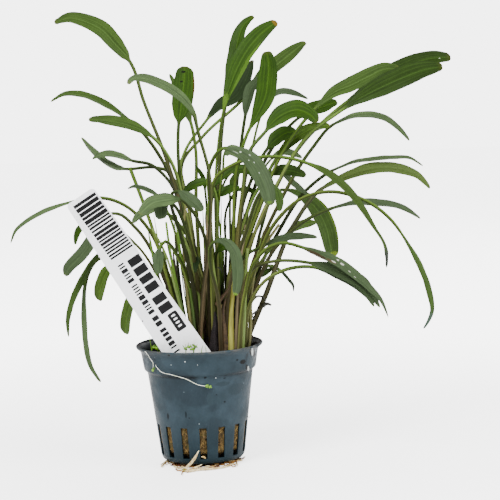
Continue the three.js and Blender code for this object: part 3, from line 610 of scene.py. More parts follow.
leafShape = {
    "stalkStep": 2.2 * mm,
    "bladeStep": 0.9 * mm,
    "sides": [-1, -0.96, -0.85, -0.68, -0.48, -0.28, -0.12, 0, 0.12, 0.28, 0.48, 0.68, 0.85, 0.96, 1],
    "groove": 0.10 * mm,    # depth along the midrib above
    "rib": 0.20 * mm,       # height along the midrib below
    "ridgeWidth": 0.32 * mm,
    "wave": 0.14 * mm,      # how far the margin waves, and how long a wave is
    "pitch": (12, 20),
    "flatBy": 0.22,         # share of the blade by which its section is flat
    "stalkScale": (1.0, 1.25),   # its stalk against the solid's, at the foot and at the blade
    "swollen": 6 * mm,      # how far into the blade the stalk's extra width runs out
    "foldScale": 1.5,       # its fold against the solid's
    "least": 0.05 * mm,     # smallest half width and half thickness
    "leastWide": 0.2 * mm,  # half width of the thinnest tail, and how far from the tip it closes
    "closing": 1.2 * mm,
    "tipGap": 0.15 * mm,    # how far the last section is from the solid's tip
    "ownLeast": {"leaf_right_11": 0.85 * mm, "leaf_left_8": 0.32 * mm, "leaf_right_20": 0.3 * mm},
    "ownScale": {"leaf_right_10": 1.3, "leaf_middle_5": 0.8, "small_leaf_2": 1.5},
    "ownBlade": {"leaf_left_1": 0.86},   # its blade against the solid's
}


def leafSections(spine, plain):
    # where the blade starts and ends, and even sections along a leaf, from those of its spine
    f = leafShape
    centres = np.array([s["centre"] for s in spine])
    marks = marksOf(centres)
    blades = [i for i, s in enumerate(spine) if s["blade"]]
    neck = marks[max(blades[0] - 1, 0)] if blades else marks[-1]
    total = marks[-1]
    at = np.arange(0, neck, f["stalkStep"])
    if blades:
        last = total - f["tipGap"]
        at = np.concatenate([at, np.arange(neck, last - f["tipGap"], f["bladeStep"]), [last]])
    else:
        at = np.concatenate([at, [total]])
    line, across, face = (smoothAlong(marks, values, at) for values in (
        centres, [s["across"] for s in spine], [s["face"] for s in spine]))
    wide, thick, rise = (smoothAlong(marks, [s[key] for s in spine], at, True)
                         for key in ("wide", "thick", "rise"))
    wide, thick = np.maximum(wide, f["least"]), np.maximum(thick, f["least"])
    wide = np.where(at > neck, wide * f["ownBlade"].get(plain, 1), wide)
    # past the last ring the tip closes round where that ring is wide, and else in a point
    lastWide = spine[-2]["wide"]
    blunt = 0.5 if lastWide > 0.3 * max(s["wide"] for s in spine) else 0.9
    past = np.clip((at - marks[-2]) / (marks[-1] - marks[-2]), 0, 1)
    if blades:
        least = f["ownLeast"].get(plain, f["leastWide"])
        wide = np.where(past > 0, np.maximum(lastWide * (1 - past ** 2) ** blunt, f["least"]), wide)
        closing = np.clip((total - at) / f["closing"], 0.1, 1)
        wide = np.where(at > neck, np.maximum(wide, least * closing), wide)
    else:
        # a cut stalk keeps its width up to a blunt end
        wide = np.where(past > 0, lastWide, wide)
        thick = wide
    low, high = (v * f["ownScale"].get(plain, 1) for v in f["stalkScale"])
    fuller = low + (high - low) * np.clip(at / max(neck, mm), 0, 1)
    fuller = np.where(at > neck, 1 + (high - 1) * np.clip(1 - (at - neck) / f["swollen"], 0, 1), fuller)
    wide, thick = wide * fuller, thick * np.where(at > neck, 1, fuller)
    return neck, total, (at, line, across, face, wide, thick, rise * f["foldScale"])


def sweepLeaf(name, spine, material, slot, seed, *stands):
    f = leafShape
    neck, total, sections = leafSections(spine, name.removesuffix("_fine"))
    at, line, across, face, wide, thick, rise = sections
    along = np.gradient(line, axis=0)
    rng = random.Random(seed)
    phase = [rng.uniform(0, 6.28) for _ in range(4)]
    pitch = rng.uniform(*f["pitch"]) * mm
    points, coords = [], []
    top = len(f["sides"])
    count = 2 * top - 2
    for i in range(len(at)):
        t = unit(along[i])
        x = unit(across[i] - t * (across[i] @ t))
        z = unit(face[i] - t * (face[i] @ t) - x * (face[i] @ x))
        share = max(at[i] - neck, 0) / max(total - neck, 1e-6)
        flat = min(1, share / f["flatBy"])
        flat = flat * flat * (3 - 2 * flat)
        mapV = 1 + share if at[i] > neck else at[i] / neck
        for j in range(count):
            c = f["sides"][j] if j < top else f["sides"][count - j]
            body = math.sqrt(max(0, 1 - c * c))
            thin = (0.35 + 0.65 * (1 - c * c)) if abs(c) < 1 else 0
            half = thick[i] * ((1 - flat) * body + flat * min(body * 2, 1) * thin)
            ridge = math.exp(-(c * wide[i] / f["ridgeWidth"]) ** 2) * flat
            edge = 0 if c > 0 else 1
            swing = at[i] / pitch
            wave = f["wave"] * flat * c * c * min(1, wide[i] / (3 * mm)) * (
                math.sin(swing * 6.28 + phase[edge]) + 0.4 * math.sin(swing * 14 + phase[edge + 2]))
            up = half - f["groove"] * ridge if j < top else -half - f["rib"] * ridge * (1 - share)
            points.append(line[i] + x * (c * wide[i]) + z * (up + rise[i] * abs(c) + wave))
            coords.append((c * 0.5 + 0.5, mapV))
    faces = ringFaces(0, len(at) - 1, count)
    faces.append(tuple(range(count - 1, -1, -1)))
    faces.append(tuple((len(at) - 1) * count + j for j in range(count)))
    under = ([0] * (top - 1) + [2] * (count - top + 1)) * (len(at) - 1) + [0, 0]
    mesh = bpy.data.meshes.new(name)
    mesh.from_pydata([tuple(p) for p in points], [], faces)
    leafMap = mesh.uv_layers.new(name="leafMap")
    flatCoords = []
    for face, below in zip(mesh.polygons, under):
        for vertex in face.vertices:
            flatCoords += [coords[vertex][0] + below, coords[vertex][1]]
    leafMap.data.foreach_set("uv", flatCoords)
    bm = bmesh.new()
    bm.from_mesh(mesh)
    bmesh.ops.recalc_face_normals(bm, faces=bm.faces)
    bm.to_mesh(mesh)
    bm.free()
    return linkPiece(name, mesh, [material], slot, *stands)


leafMaterials = {}


def leafMaterial(name, look, tone):
    key = name if name in leafMarks else look + "_" + tone
    if key not in leafMaterials:
        leafMaterials[key] = makeLeafMaterial(key + "_skin", look, tone, leafMarks.get(name, ()))
    return leafMaterials[key]


def makeLeaves():
    slots = {row["node"]: row["material_slot"] for row in frame["record"]["subparts"]}
    names = sorted(n for n in frame["nodes"] if n.startswith("leaf") or n.startswith("stalk"))
    lookOf = {"leaf_" + leaf: look for look, k in leafLooks.items() for leaf in k["leaves"].split()}
    for i, name in enumerate(names):
        tone = ownTones.get(name, toneOrder[(i * 7 + 1) % len(toneOrder)])
        material = leafMaterial(name, lookOf.get(name, "dull"), tone)
        sweepLeaf(name + "_fine", spineOf(frame["nodes"][name]), material, slots[name], 100 + i, name)
    print("leaves:", len(names))


makeLeaves()

# Small leaves in the tuft: route from foot to tip in the front view, the route's point where the blade
# starts, width, how far it faces up in degrees, y of foot and tip, slot and look.
smallLeaves = [
    ([(4, 46.4), (5, 80), (5.5, 105), (5, 118), (4.5, 122.6), (3, 125.7),
      (1, 129)], 3, 2.5, 40, (8, 0), "leaf_dark", "deep"),
    ([(18, 46.4), (22, 66), (26, 79), (31, 84.5), (35.6, 82.6), (39.7, 78), (41.4, 75.6),
      (41.6, 72.8)], 4, 1.5, 20, (10, 30), "leaf_grey", "dull"),
    ([(12, 46.4), (10, 90), (12, 118), (16.5, 125), (20.2, 126), (23.6, 125.6), (26, 123.3),
      (28, 120.5)], 3, 4, 35, (7, 1), "leaf_dark", "deep"),
    ([(12, 46.4), (13, 90), (15, 112), (19, 117.5), (23, 117.6),
      (27.2, 115.6)], 3, 3, 40, (8, 4), "leaf_dark", "deep"),
    ([(14, 46.4), (15, 90), (15.5, 112), (16, 119), (18, 123),
      (20.5, 126)], 3, 3, 20, (11, 20), "leaf_bright", "mid"),
    ([(-3, 46.4), (-6, 85), (-11, 108), (-14.9, 116), (-19.9, 119), (-23, 120.2), (-25.8, 120.6),
      (-28.2, 119.8)], 3, 2.4, 35, (-5, -12), "leaf_grey", "glaucous"),
    ([(-6, 46.4), (-14, 75), (-26, 96), (-36, 104), (-44, 105), (-49.7, 102.8), (-50.9, 100.4),
      (-51.8, 96.4)], 4, 3.5, 30, (12, 12), "leaf_dark", "deep"),
    ([(2, 46.4), (2.6, 75), (1.8, 87.5), (0.8, 89.2), (0, 86.5),
      (-0.5, 82.3)], 3, 2.6, 20, (-8, -20), "leaf_grey", "dull"),
    ([(8, 46.4), (8.5, 75), (8, 88), (9.5, 91.5), (12, 93.2),
      (15.5, 94)], 3, 3.6, 35, (-3, -7), "leaf_dark", "deep"),
    ([(16, 46.4), (19, 66), (22.5, 76), (25.6, 79.3), (29, 81),
      (33.4, 83.6)], 3, 2.8, 30, (10, 20), "leaf_bright", "mid"),
    ([(8, 46.4), (9, 90), (11.5, 118), (13.2, 128), (13.8, 133), (16.5, 134.6), (21, 132.5),
      (25.5, 129.5)], 4, 5.5, 30, (2, -14), "leaf_grey", "pale"),
    ([(13, 46.4), (18, 95), (26, 136), (31.3, 151.6), (35.7, 157.7), (39.2, 159), (44.4, 158.2),
      (50.5, 155.6)], 3, 3.4, 30, (6, 22), "leaf_grey", "glaucous"),
    ([(16, 46.4), (20, 90), (28, 122), (34, 130.5), (38.5, 133), (43, 132.5),
      (47.2, 130.5)], 3, 3.6, 30, (8, 26), "leaf_grey", "pale"),
]
# half widths of a small leaf's stalk and half its thickness in millimetres, and its fold
smallShape = {"foot": 0.7, "head": 0.4, "thick": 0.22, "fold": 0.2, "step": 2.5 * mm, "bladeRings": 12}


def routeSpine(route, neckAt, width, turn, depth):
    # sections like those of a packed leaf, from a route in the front view
    s = smallShape
    spread = np.linspace(0, 1, len(route)) ** 1.5
    foot, tip = depth
    points = np.array([inFront(x, z, foot + (tip - foot) * k) for (x, z), k in zip(route, spread)])
    marks = marksOf(points)
    neck, total = marks[neckAt], marks[-1]
    at = np.concatenate([np.arange(0, neck, s["step"]), np.linspace(neck, total, s["bladeRings"])])
    line = smoothAlong(marks, points, at)
    along = np.gradient(line, axis=0)
    outward = 1 if route[-1][0] < route[0][0] else -1
    turn = math.radians(turn)
    spine = []
    for i, mark in enumerate(at):
        t = unit(along[i])
        front = unit(np.array([0, -1, 0]) + t * t[1])
        face = front * math.cos(turn) + np.cross(t, front) * outward * math.sin(turn)
        share = max(mark - neck, 0) / (total - neck)
        stalk = s["foot"] + (s["head"] - s["foot"]) * min(1, mark / neck)
        blade = width / 2 * math.sin(math.pi * share ** 0.95) ** 0.62 if 0 < share < 1 else 0
        thin = min(1, share / 0.25)
        wide = max(blade, stalk * (1 - thin), 0.02)
        spine.append({"centre": line[i], "across": unit(np.cross(face, t)), "face": face, "wide": wide * mm,
                      "thick": (stalk + (s["thick"] - stalk) * thin) * (mm if share < 1 else 0.1 * mm),
                      "rise": s["fold"] * wide * thin * mm, "blade": share > 0})
    return spine


def makeSmallLeaves():
    for i, (*shape, slot, look) in enumerate(smallLeaves):
        name = "small_leaf_%d" % (i + 1)
        material = leafMaterial(name, look, toneOrder[i % len(toneOrder)])
        sweepLeaf(name, routeSpine(*shape), material, slot, 300 + i)
    print("small leaves:", len(smallLeaves))


makeSmallLeaves()

# the inner tuft: thin stalks between the others, dead sheaths at the stalks' feet, and hairs

tuft = {
    "innerStalks": 68,
    "footX": (-13, 16),     # millimetres as all of these
    "footY": (-1, 15),
    "footZ": 45.5,
    "middleX": 5,
    "crown": 46,            # z of the plug's top
    "radius": (0.4, 0.78),
    "reach": (60, 104),     # z of their upper ends
    "lean": 1.55,           # how much further out the upper ends are, this far above the crown
    "leanHeight": 50,
    "bow": 1.5,
    "stray": 2,
    "rolledLeaves": 22,     # young leaves still rolled to a point
    "rolledRadius": (0.32, 0.52),
    "rolledReach": (84, 116),
    "rolledLean": 1.35,
    "crossing": 4.0,        # how far rolled leaves cross each other
    "frontDepth": 13.5,     # how far forward a front stem stands at most
    "frontRound": 23,       # radius of the round on which they stand
    # stems in front: route in the front view, radius at the foot and the top, and kind
    "frontStems": [
        ([(-2.2, 47.9), (-2.3, 57.6), (-2.0, 70.7), (-1.9, 83.7), (-2.2, 93.7)], 1.2, 0.75, 6),
        ([(-0.5, 47.9), (0.7, 57.0), (2.6, 70.5), (4.2, 85.7), (5.3, 98.7), (5.9, 107.3)], 1.1, 0.7, 4),
        ([(8.4, 47.6), (8.9, 61.6), (8.6, 71.2), (7.4, 83.4), (6.2, 93.4)], 1.0, 0.6, 7),
        ([(13.6, 46.5), (13.8, 54.8), (14.2, 64.9), (15.2, 72.7), (16.2, 83.1)], 1.65, 0.9, 5),
        ([(18.4, 47.2), (19.1, 56.4), (20.3, 69.9), (21.4, 82.9), (22.4, 92.4)], 1.15, 0.7, 7),
        ([(21.0, 47.1), (22.2, 56.3), (23.4, 74.2), (27.2, 88.8), (36.3, 102.3)], 0.9, 0.6, 6),
        ([(15.8, 47.3), (16.6, 59.1), (17.5, 70.0), (18.9, 86.5), (22.1, 102.4)], 0.85, 0.6, 4),
        ([(-4.0, 51.1), (-7.6, 70.9), (-10.4, 87.5), (-11.7, 98.0), (-12.3, 104.9)], 0.75, 0.5, 2),
        ([(-5.5, 57.7), (-9.2, 75.3), (-12.9, 90.6), (-18.4, 102.5)], 0.7, 0.42, 7),
        ([(-3.2, 51.1), (-4.1, 70.8), (-5.2, 87.3), (-5.1, 101.2), (-3.4, 111.9)], 0.8, 0.5, 6),
        ([(-1.4, 51.0), (-3.1, 75.1), (-6.8, 92.6), (-7.9, 107.8)], 0.85, 0.5, 2),
        ([(1.1, 49.6), (0.6, 70.6), (-2.5, 90.3), (-7.2, 104.7)], 0.75, 0.5, 7),
    ],
    # a sheath's route in the front view, width, depth and kind
    "sheaths": [
        ([(6.3, 47.6), (6.7, 55.1), (7.4, 60.8), (7.3, 65.6)], 3.6, -15.8, 1),
        ([(11.0, 47.5), (10.7, 57.1), (10.6, 65.0), (12.3, 71.5)], 3.2, -15.2, 0),
        ([(8.1, 67.7), (9.7, 70.3), (11.9, 72.8), (14.7, 76.6)], 1.7, -16.0, 0),
        ([(15.6, 46.4), (16.2, 56), (17.4, 63), (18.4, 67)], 3.2, -9.5, 2),
        ([(1.2, 46.4), (1.6, 54), (2.6, 61), (2.4, 66)], 2.8, -9.5, 0),
        ([(-3.4, 46.4), (-4.2, 54), (-5.4, 60), (-6.4, 64)], 3.0, -6.5, 0),
        ([(19.6, 46.4), (20.6, 50), (22.4, 53), (23.4, 54.6)], 3.0, -4.5, 0),
        ([(4.2, 46.4), (3.9, 52), (4.4, 56), (4.1, 60)], 2.6, -10.5, 1),
    ],
    # thin hairs and stray rootlets: route in the front view, depth, radius
    "hairs": [
        ([(19.2, 64.2), (17.4, 60.6), (15.7, 57), (15.0, 52), (15.2, 47)], -11.5, 0.36),
        ([(10.6, 68.2), (9.8, 63.8), (9.2, 59.4), (9.4, 55)], -12.5, 0.4),
        ([(20.6, 60.3), (23.4, 63.4), (26.4, 65.8)], 2, 0.7),
        ([(21.1, 62.9), (22.9, 62.8), (24.6, 61.5)], 1, 0.7),
        ([(21.6, 66.4), (23.1, 68.9), (26.2, 71.4), (28.3, 70.9), (29.4, 69.0)], 3, 0.8),
        ([(28.0, 66.8), (28.8, 67.6), (30.4, 67.9), (31.8, 67.2)], 4, 1.1),
        ([(9.0, 84.5), (10.6, 83.6), (11.0, 81.8)], -12, 0.3),
        ([(24.0, 76.0), (22.4, 73.6), (20.2, 71.8), (18.6, 69.4)], -6, 0.32),
        ([(14.0, 46), (15.6, 50.2), (18.2, 53.0), (20.8, 53.6), (22.8, 51.6), (23.4, 49.2)], 3, 0.5),
        ([(19.8, 18.9), (20.6, 18.2), (21.1, 19.3)], -3, 0.14),
    ],
}


def makeSheathMaterials():
    made = []
    for name, low, high, edge in (("drySheath", "1e1208", "44321a", "5c4c30"),
                                  ("purpleSheath", "060304", "150c0e", "241614"),
                                  ("oliveSheath", "222308", "3c3d12", "54502a")):
        m, tree, shader = newMaterial(name, 0.6, 0.3)
        vein = useGroup(tree, leafPatternGroup, {"Veins": 9.0})["Vein"]
        color = tinted(tree, cloudTint(tree, 2.0, 1.8, low, high), vein, 0.4, edge)
        setSurface(tree, shader, color, cloudRange(tree, 0.6, 1.5, 0.45, 0.75))
        setBump(tree, shader, mathNode(tree, "ADD", vein, cloudOf(tree, 0.3, 1.0)), 0.15, 0.8)
        made.append(m)
    return made


def makeStalkMaterials():
    # painted shade low down in the tuft, nearly black on the inner stalks, and clear above, with streaks
    # along
    made = []
    for name, low, high in (("innerBrown", "080502", "302918"), ("innerOlive", "0b0b04", "343a16"),
                            ("innerGreen", "1c260a", "54761c"), ("innerLight", "363c1a", "688636"),
                            ("stemTan", "3c3224", "665a40"), ("stemPale", "4c4a1a", "8a8838"),
                            ("stemOlive", "2e2c16", "5e5c30"), ("stemLight", "344218", "627634")):
        m, tree, shader = newMaterial(name, 0.5, 0.25)
        pieceMap = pieceMapOf(tree)
        clearing = (-0.28, 0.35) if name.startswith("stem") else (0.0, 0.8)
        color = mixColor(tree, ramp(tree, splitOf(tree, pieceMap)["Y"], *clearing), rgb(low), rgb(high))
        streaks = noiseOf(tree, stretchOf(tree, pieceMap, (9.0, 2.0, 1.0)), 1.0, 3.0)
        color = tinted(tree, color, ramp(tree, streaks, 0.45, 0.65), 0.6, low)
        setSurface(tree, shader, color, cloudRange(tree, 0.5, 1.2, 0.4, 0.65))
        setBump(tree, shader, cloudOf(tree, 0.4, 1.0), 0.1, 0.6)
        made.append(m)
    return made


def makeInnerStalks():
    t = tuft
    rng = random.Random(11)
    soup = newSoup()
    for i in range(t["innerStalks"] + t["rolledLeaves"]):
        rolled = i >= t["innerStalks"]
        x0, y0 = rng.uniform(*t["footX"]), rng.uniform(*t["footY"])
        top = rng.uniform(*t["rolledReach" if rolled else "reach"])
        out = 1 + (t["rolledLean" if rolled else "lean"] - 1) * (top - t["crown"]) / t["leanHeight"]
        x1 = t["middleX"] + (x0 - t["middleX"]) * out
        x1 += rng.gauss(0, t["crossing"]) if rolled else rng.uniform(-t["stray"], t["stray"])
        y1 = y0 * out + rng.uniform(-t["stray"], t["stray"])
        middle = ((x0 + x1) / 2 + rng.uniform(-t["bow"], t["bow"]), (y0 + y1) / 2, (t["crown"] + top) / 2)
        route = [np.array(p) * mm for p in ((x0, y0, t["footZ"]), middle, (x1, y1, top))]
        line = curveThrough(route, 3 * mm)
        radius = rng.uniform(*t["rolledRadius" if rolled else "radius"])
        point = 0.2 if rolled else 0.1
        radii = [radius * (1.1 - 0.45 * k) * min(1, (1 - k) / point + 0.1) * mm
                 for k in np.linspace(0, 1, len(line))]
        addTube(soup, line, radii, sides=8, kind=2 + i % 2 if rolled else i % 3)
    for route, foot, head, kind in t["frontStems"]:
        front = -min(t["frontDepth"], math.sqrt(t["frontRound"] ** 2 - route[0][0] ** 2))
        line = curveThrough([inFront(x, z, front + k) for k, (x, z) in enumerate(route)], 2 * mm)
        addTube(soup, line, taper(line, foot, head), 10, kind)
    finishSoup("inner_stalks", soup, makeStalkMaterials(), "stalk")


def makeSheaths():
    materials = makeSheathMaterials()
    for i, (route, width, depth, kind) in enumerate(tuft["sheaths"]):
        line = curveThrough([inFront(x, z, depth) for x, z in route], 1.5 * mm)
        spine = []
        along = np.gradient(line, axis=0)
        for k, centre in enumerate(line):
            share = k / (len(line) - 1)
            t = unit(along[k])
            face = unit(np.array([0, -1, 0]) + t * t[1])
            wide = width / 2 * (1 - share ** 1.6) ** 0.7 + 0.06
            spine.append({"centre": centre, "across": unit(np.cross(face, t)), "face": -face,
                          "wide": wide * mm, "thick": 0.16 * mm, "rise": wide * 0.55 * mm, "blade": True})
        sweepLeaf("dry_sheath_%d" % (i + 1), spine, materials[kind], "stalk", 500 + i)


def makeHairs():
    soup = newSoup()
    for i, (route, depth, radius) in enumerate(tuft["hairs"]):
        line = curveThrough([inFront(x, z, depth) for x, z in route], 0.8 * mm)
        addTube(soup, line, taper(line, radius, 0.4 * radius), sides=5, kind=0 if i < 2 else 1)
    materials = [cloudMaterial(name, 0.6, 0.5, (1.5, 1.5), tints, (0.3, 1.0), 0.05)
                 for name, tints in (("paleHair", ("5c4c2c", "a89870")), ("darkHair", ("14140a", "2c2c14")))]
    finishSoup("stray_hairs", soup, materials, "stalk")


makeInnerStalks()
makeSheaths()
makeHairs()
print("inner tuft:", tuft["innerStalks"], "stalks", len(tuft["sheaths"]), "sheaths")

# net pot

pot = {
    "base": 2.0,            # z of its underside, millimetres as all of these
    "wall": 0.6,
    "edge": 0.12,           # rounding of its edges
    "slots": 15,
    "slotWidth": 3.1,
    "slotBottom": 2.5,      # above the underside
    "slotTop": 16.2,
    "firstSlot": 2.3,       # degrees from the front
    # outside as height and radius, from the middle of the underside to the lip
    "outline": [(0, 0.6), (0, 6), (0, 12), (0, 15.9), (0.08, 16.6), (0.35, 17.25), (0.8, 17.7), (1.5, 18.0),
                (2.5, 18.3), (5, 18.6), (7.8, 18.95), (10.6, 19.3), (13.4, 19.65), (16.2, 20), (19, 20.36),
                (22, 20.75), (25, 21.14), (28, 21.53), (31, 21.92), (34, 22.31), (36.6, 22.65), (38.3, 22.88),
                (38.75, 23.1), (39.05, 23.7), (39.5, 24.15), (40.3, 24.35), (42.5, 24.7), (45, 25.08),
                (46.8, 25.4), (47.7, 25.85), (48.4, 26.6), (48.9, 27.25), (49.4, 27.5), (49.8, 27.4),
                (50, 27.1)],
    "inSlot": 3,            # columns across a slot, and between two slots
    "between": 7,
    # marks on its front: x, z, half sizes and colour
    "marks": [(-6.5, 43.8, 0.3, 0.25, "a8b0b0"), (-12.6, 42.6, 0.24, 0.2, "8a9494"),
              (-1.1, 42.2, 0.2, 0.2, "98a0a0"), (6.6, 36.2, 0.28, 0.24, "a8b0b0"),
              (-1.4, 16.2, 0.2, 0.18, "8c9696"), (18.6, 42.9, 1.2, 1.0, "010202"),
              (16.2, 43.8, 0.5, 0.4, "020405"), (22.2, 47.4, 0.6, 1.9, "020405"),
              (22.9, 47.2, 0.42, 2.0, "b4bab8"), (23.7, 46.4, 0.45, 1.7, "020405"),
              (20.2, 40.4, 0.5, 1.4, "030608"), (20.9, 39.6, 0.36, 1.5, "a0a6a4"),
              (-14.8, 20.0, 0.4, 1.4, "060c10"), (-7.0, 20.4, 0.4, 1.4, "0c161a"),
              (-13.4, 46.8, 0.5, 0.5, "060a0c"), (2.0, 36.6, 0.6, 0.6, "0a1216"),
              (10.4, 36.0, 0.5, 0.3, "0a1216"), (15.0, 31.0, 3.2, 2.6, "222e34"),
              (9.5, 33.5, 3.0, 1.0, "222e34"), (3.5, 27.0, 1.2, 2.6, "232f35")],
}


def potInside(z):
    # the pot's inner radius at a height, in millimetres
    height = z - pot["base"]
    for (h0, r0), (h1, r1) in zip(pot["outline"][3:], pot["outline"][4:]):
        if h0 <= height <= h1 and h1 > h0:
            return r0 + (r1 - r0) * (height - h0) / (h1 - h0) - pot["wall"]
    return 16.0


def onPot(x, z, clearance):
    # the place on the pot's outside that the camera sees at (x, z)
    y = -20.0
    for _ in range(12):
        spot = inFront(x, z, y) / mm
        radius = potInside(min(spot[2], 51)) + pot["wall"] + clearance
        y = -math.sqrt(max(radius ** 2 - spot[0] ** 2, 0))
    return inFront(x, z, y)


def makePotMaterial():
    m, tree, shader = newMaterial("potPlastic", 0.42, 0.12)
    place = placeOf(tree)
    parts = splitOf(tree, place)
    rise = parts["Z"]
    smears = noiseOf(tree, place, 55.0, 4.0, Distortion=0.6)
    color = cloudTint(tree, 9.0, 1.2, "1f2b31", "2c3a42")
    color = tinted(tree, color, ramp(tree, smears, 0.5, 0.64), 0.5, "121b20")
    color = tinted(tree, color, ramp(tree, rise, 24 * mm, 4 * mm), 0.75, "0e1e24")
    # a dull edge on the lip
    lip = times(tree, ramp(tree, rise, 50.4 * mm, 51.6 * mm), cloudOf(tree, 3.0, 2.0))
    color = tinted(tree, color, lip, 0.8, "45433f")
    # painted shadow under the step at the band's lower edge, broken up by the smears
    stepShadow = times(tree, ramp(tree, rise, 39.4 * mm, 40.6 * mm), ramp(tree, rise, 42.4 * mm, 40.8 * mm))
    stepShadow = times(tree, stepShadow, ramp(tree, smears, 0.42, 0.6))
    color = tinted(tree, color, stepShadow, 0.8, "080e12")
    # pale and dark drip marks near the lip on the right
    streaks = noiseOf(tree, stretchOf(tree, place, (1.0, 1.0, 0.22)), 420.0, 2.0)
    right = times(tree, ramp(tree, parts["X"], 17 * mm, 23 * mm), ramp(tree, rise, 40 * mm, 45 * mm))
    for low, high, strength, tint in ((0.56, 0.64, 0.5, "8a9092"), (0.42, 0.36, 0.8, "04080a")):
        drips = times(tree, ramp(tree, streaks, low, high), right)
        color = tinted(tree, color, drips, strength, tint)
    for size, share, strength, tint in ((1.1, 0.035, 0.7, "5c6a70"), (1.7, 0.03, 0.9, "04080a")):
        color = tinted(tree, color, specksOf(tree, size, share), strength, tint)
    across, up = (times(tree, parts[axis], 1 / mm) for axis in "XZ")
    front = mathNode(tree, "LESS_THAN", parts["Y"], 0.0)
    for x, z, halfX, halfZ, tint in pot["marks"]:
        middle = onPot(x, z, 0) / mm
        spot = blotOf(tree, across, up, middle[0], middle[2], halfX, halfZ)
        color = tinted(tree, color, spot, front, tint)
    # painted shade on the inside, where the surface faces the axis
    normal = addNode(tree, "ShaderNodeNewGeometry").outputs["Normal"]
    level = addNode(tree, "ShaderNodeVectorMath", {0: place, 1: (1.0, 1.0, 0.0)}, operation="MULTIPLY")
    outward = addNode(tree, "ShaderNodeVectorMath", {0: level.outputs[0], 1: normal}, operation="DOT_PRODUCT")
    inner = times(tree, mathNode(tree, "LESS_THAN", outward.outputs["Value"], 0.0), 0.85)
    color = mixColor(tree, inner, color, cloudTint(tree, 2.5, 1.6, "05080a", "141c1e"))
    setSurface(tree, shader, color, ramp(tree, cloudOf(tree, 7.0, 1.5), 0.2, 0.8, 0.28, 0.46))
    height = mathNode(tree, "MULTIPLY_ADD", cloudOf(tree, 0.35, 1.0), 0.25, cloudOf(tree, 6.0, 1.0))
    setBump(tree, shader, height, 0.18, 0.5)
    return m


def potShell():
    # points and faces of the pot's outside, open at the slots
    p = pot
    sector = 2 * math.pi / p["slots"]
    points, rows = [], []
    for height, radius in p["outline"]:
        half = math.asin(min(p["slotWidth"] / 2 / radius, 0.999)) if radius > 10 else sector / 4
        row = []
        for s in range(p["slots"]):
            middle = math.radians(p["firstSlot"]) + sector * s
            angles = [middle - half + 2 * half * k / p["inSlot"] for k in range(p["inSlot"])]
            gapAngle = sector - 2 * half
            angles += [middle + half + gapAngle * k / p["between"] for k in range(p["between"])]
            for a in angles:
                row.append(len(points))
                x, y = radius * math.sin(a), -radius * math.cos(a)
                points.append((x * mm, y * mm, (height + p["base"]) * mm))
        rows.append(row)
    faces = [tuple(reversed(rows[0]))]
    perSector = p["inSlot"] + p["between"]
    for i in range(len(rows) - 1):
        h0, h1 = p["outline"][i][0], p["outline"][i + 1][0]
        slotted = h0 >= p["slotBottom"] and h1 <= p["slotTop"]
        for k in range(len(rows[0])):
            if slotted and k % perSector < p["inSlot"]:
                continue
            n = (k + 1) % len(rows[0])
            faces.append((rows[i][k], rows[i][n], rows[i + 1][n], rows[i + 1][k]))
    return points, faces


def makePot():
    p = pot
    points, faces = potShell()
    mesh = bpy.data.meshes.new("net_pot")
    mesh.from_pydata(points, [], faces)
    piece = linkPiece("net_pot", mesh, [makePotMaterial()], "pot_plastic", "pot")
    wall = piece.modifiers.new("wall", "SOLIDIFY")
    wall.thickness = p["wall"] * mm
    wall.offset = -1
    wall.use_even_offset = True
    edge = piece.modifiers.new("edge", "BEVEL")
    edge.width = p["edge"] * mm
    edge.segments = 2
    edge.limit_method = "ANGLE"
    edge.angle_limit = math.radians(50)
    applyModifiers(piece)
    print("net pot:", len(piece.data.polygons), "faces")


makePot()

# rockwool plug

wool = {
    "bottom": 3.6,          # millimetres
    "top": 45.2,
    "belowWall": 0.08,      # gap between the plug and the pot's inside
    "columns": 150,
    "rowStep": 0.8,
    "tufts": 0.85,          # how far its surface goes in and out
    "voidTop": 7.0,         # under this height the plug falls short of the wall
    "voidDepth": 2.6,
    "voidEdge": 1.2,
    "underside": (0.5, 8.0, 14.0),   # radii of the rows on its underside and its top
    "topside": (22, 20, 17.5, 15, 12.5, 10, 7.5, 5, 2.5, 0.5),
    "fibres": 44,           # in each slot
    "fibreRadius": (0.05, 0.12),
    "fibreLength": (2.0, 5.5),
    "fibreHeight": (7.6, 17.5),
    "fibreLimits": (6.6, 18.0),
    "fibreSpread": 0.075,   # radians to each side of the slot's middle
    "crumbs": 170,          # bits of dirt and moss on its top
    "crumbSize": (0.35, 1.1),
    "crumbsOut": 23.5,      # radius that they reach
    "paleEvery": 23,        # one crumb in so many is pale
}


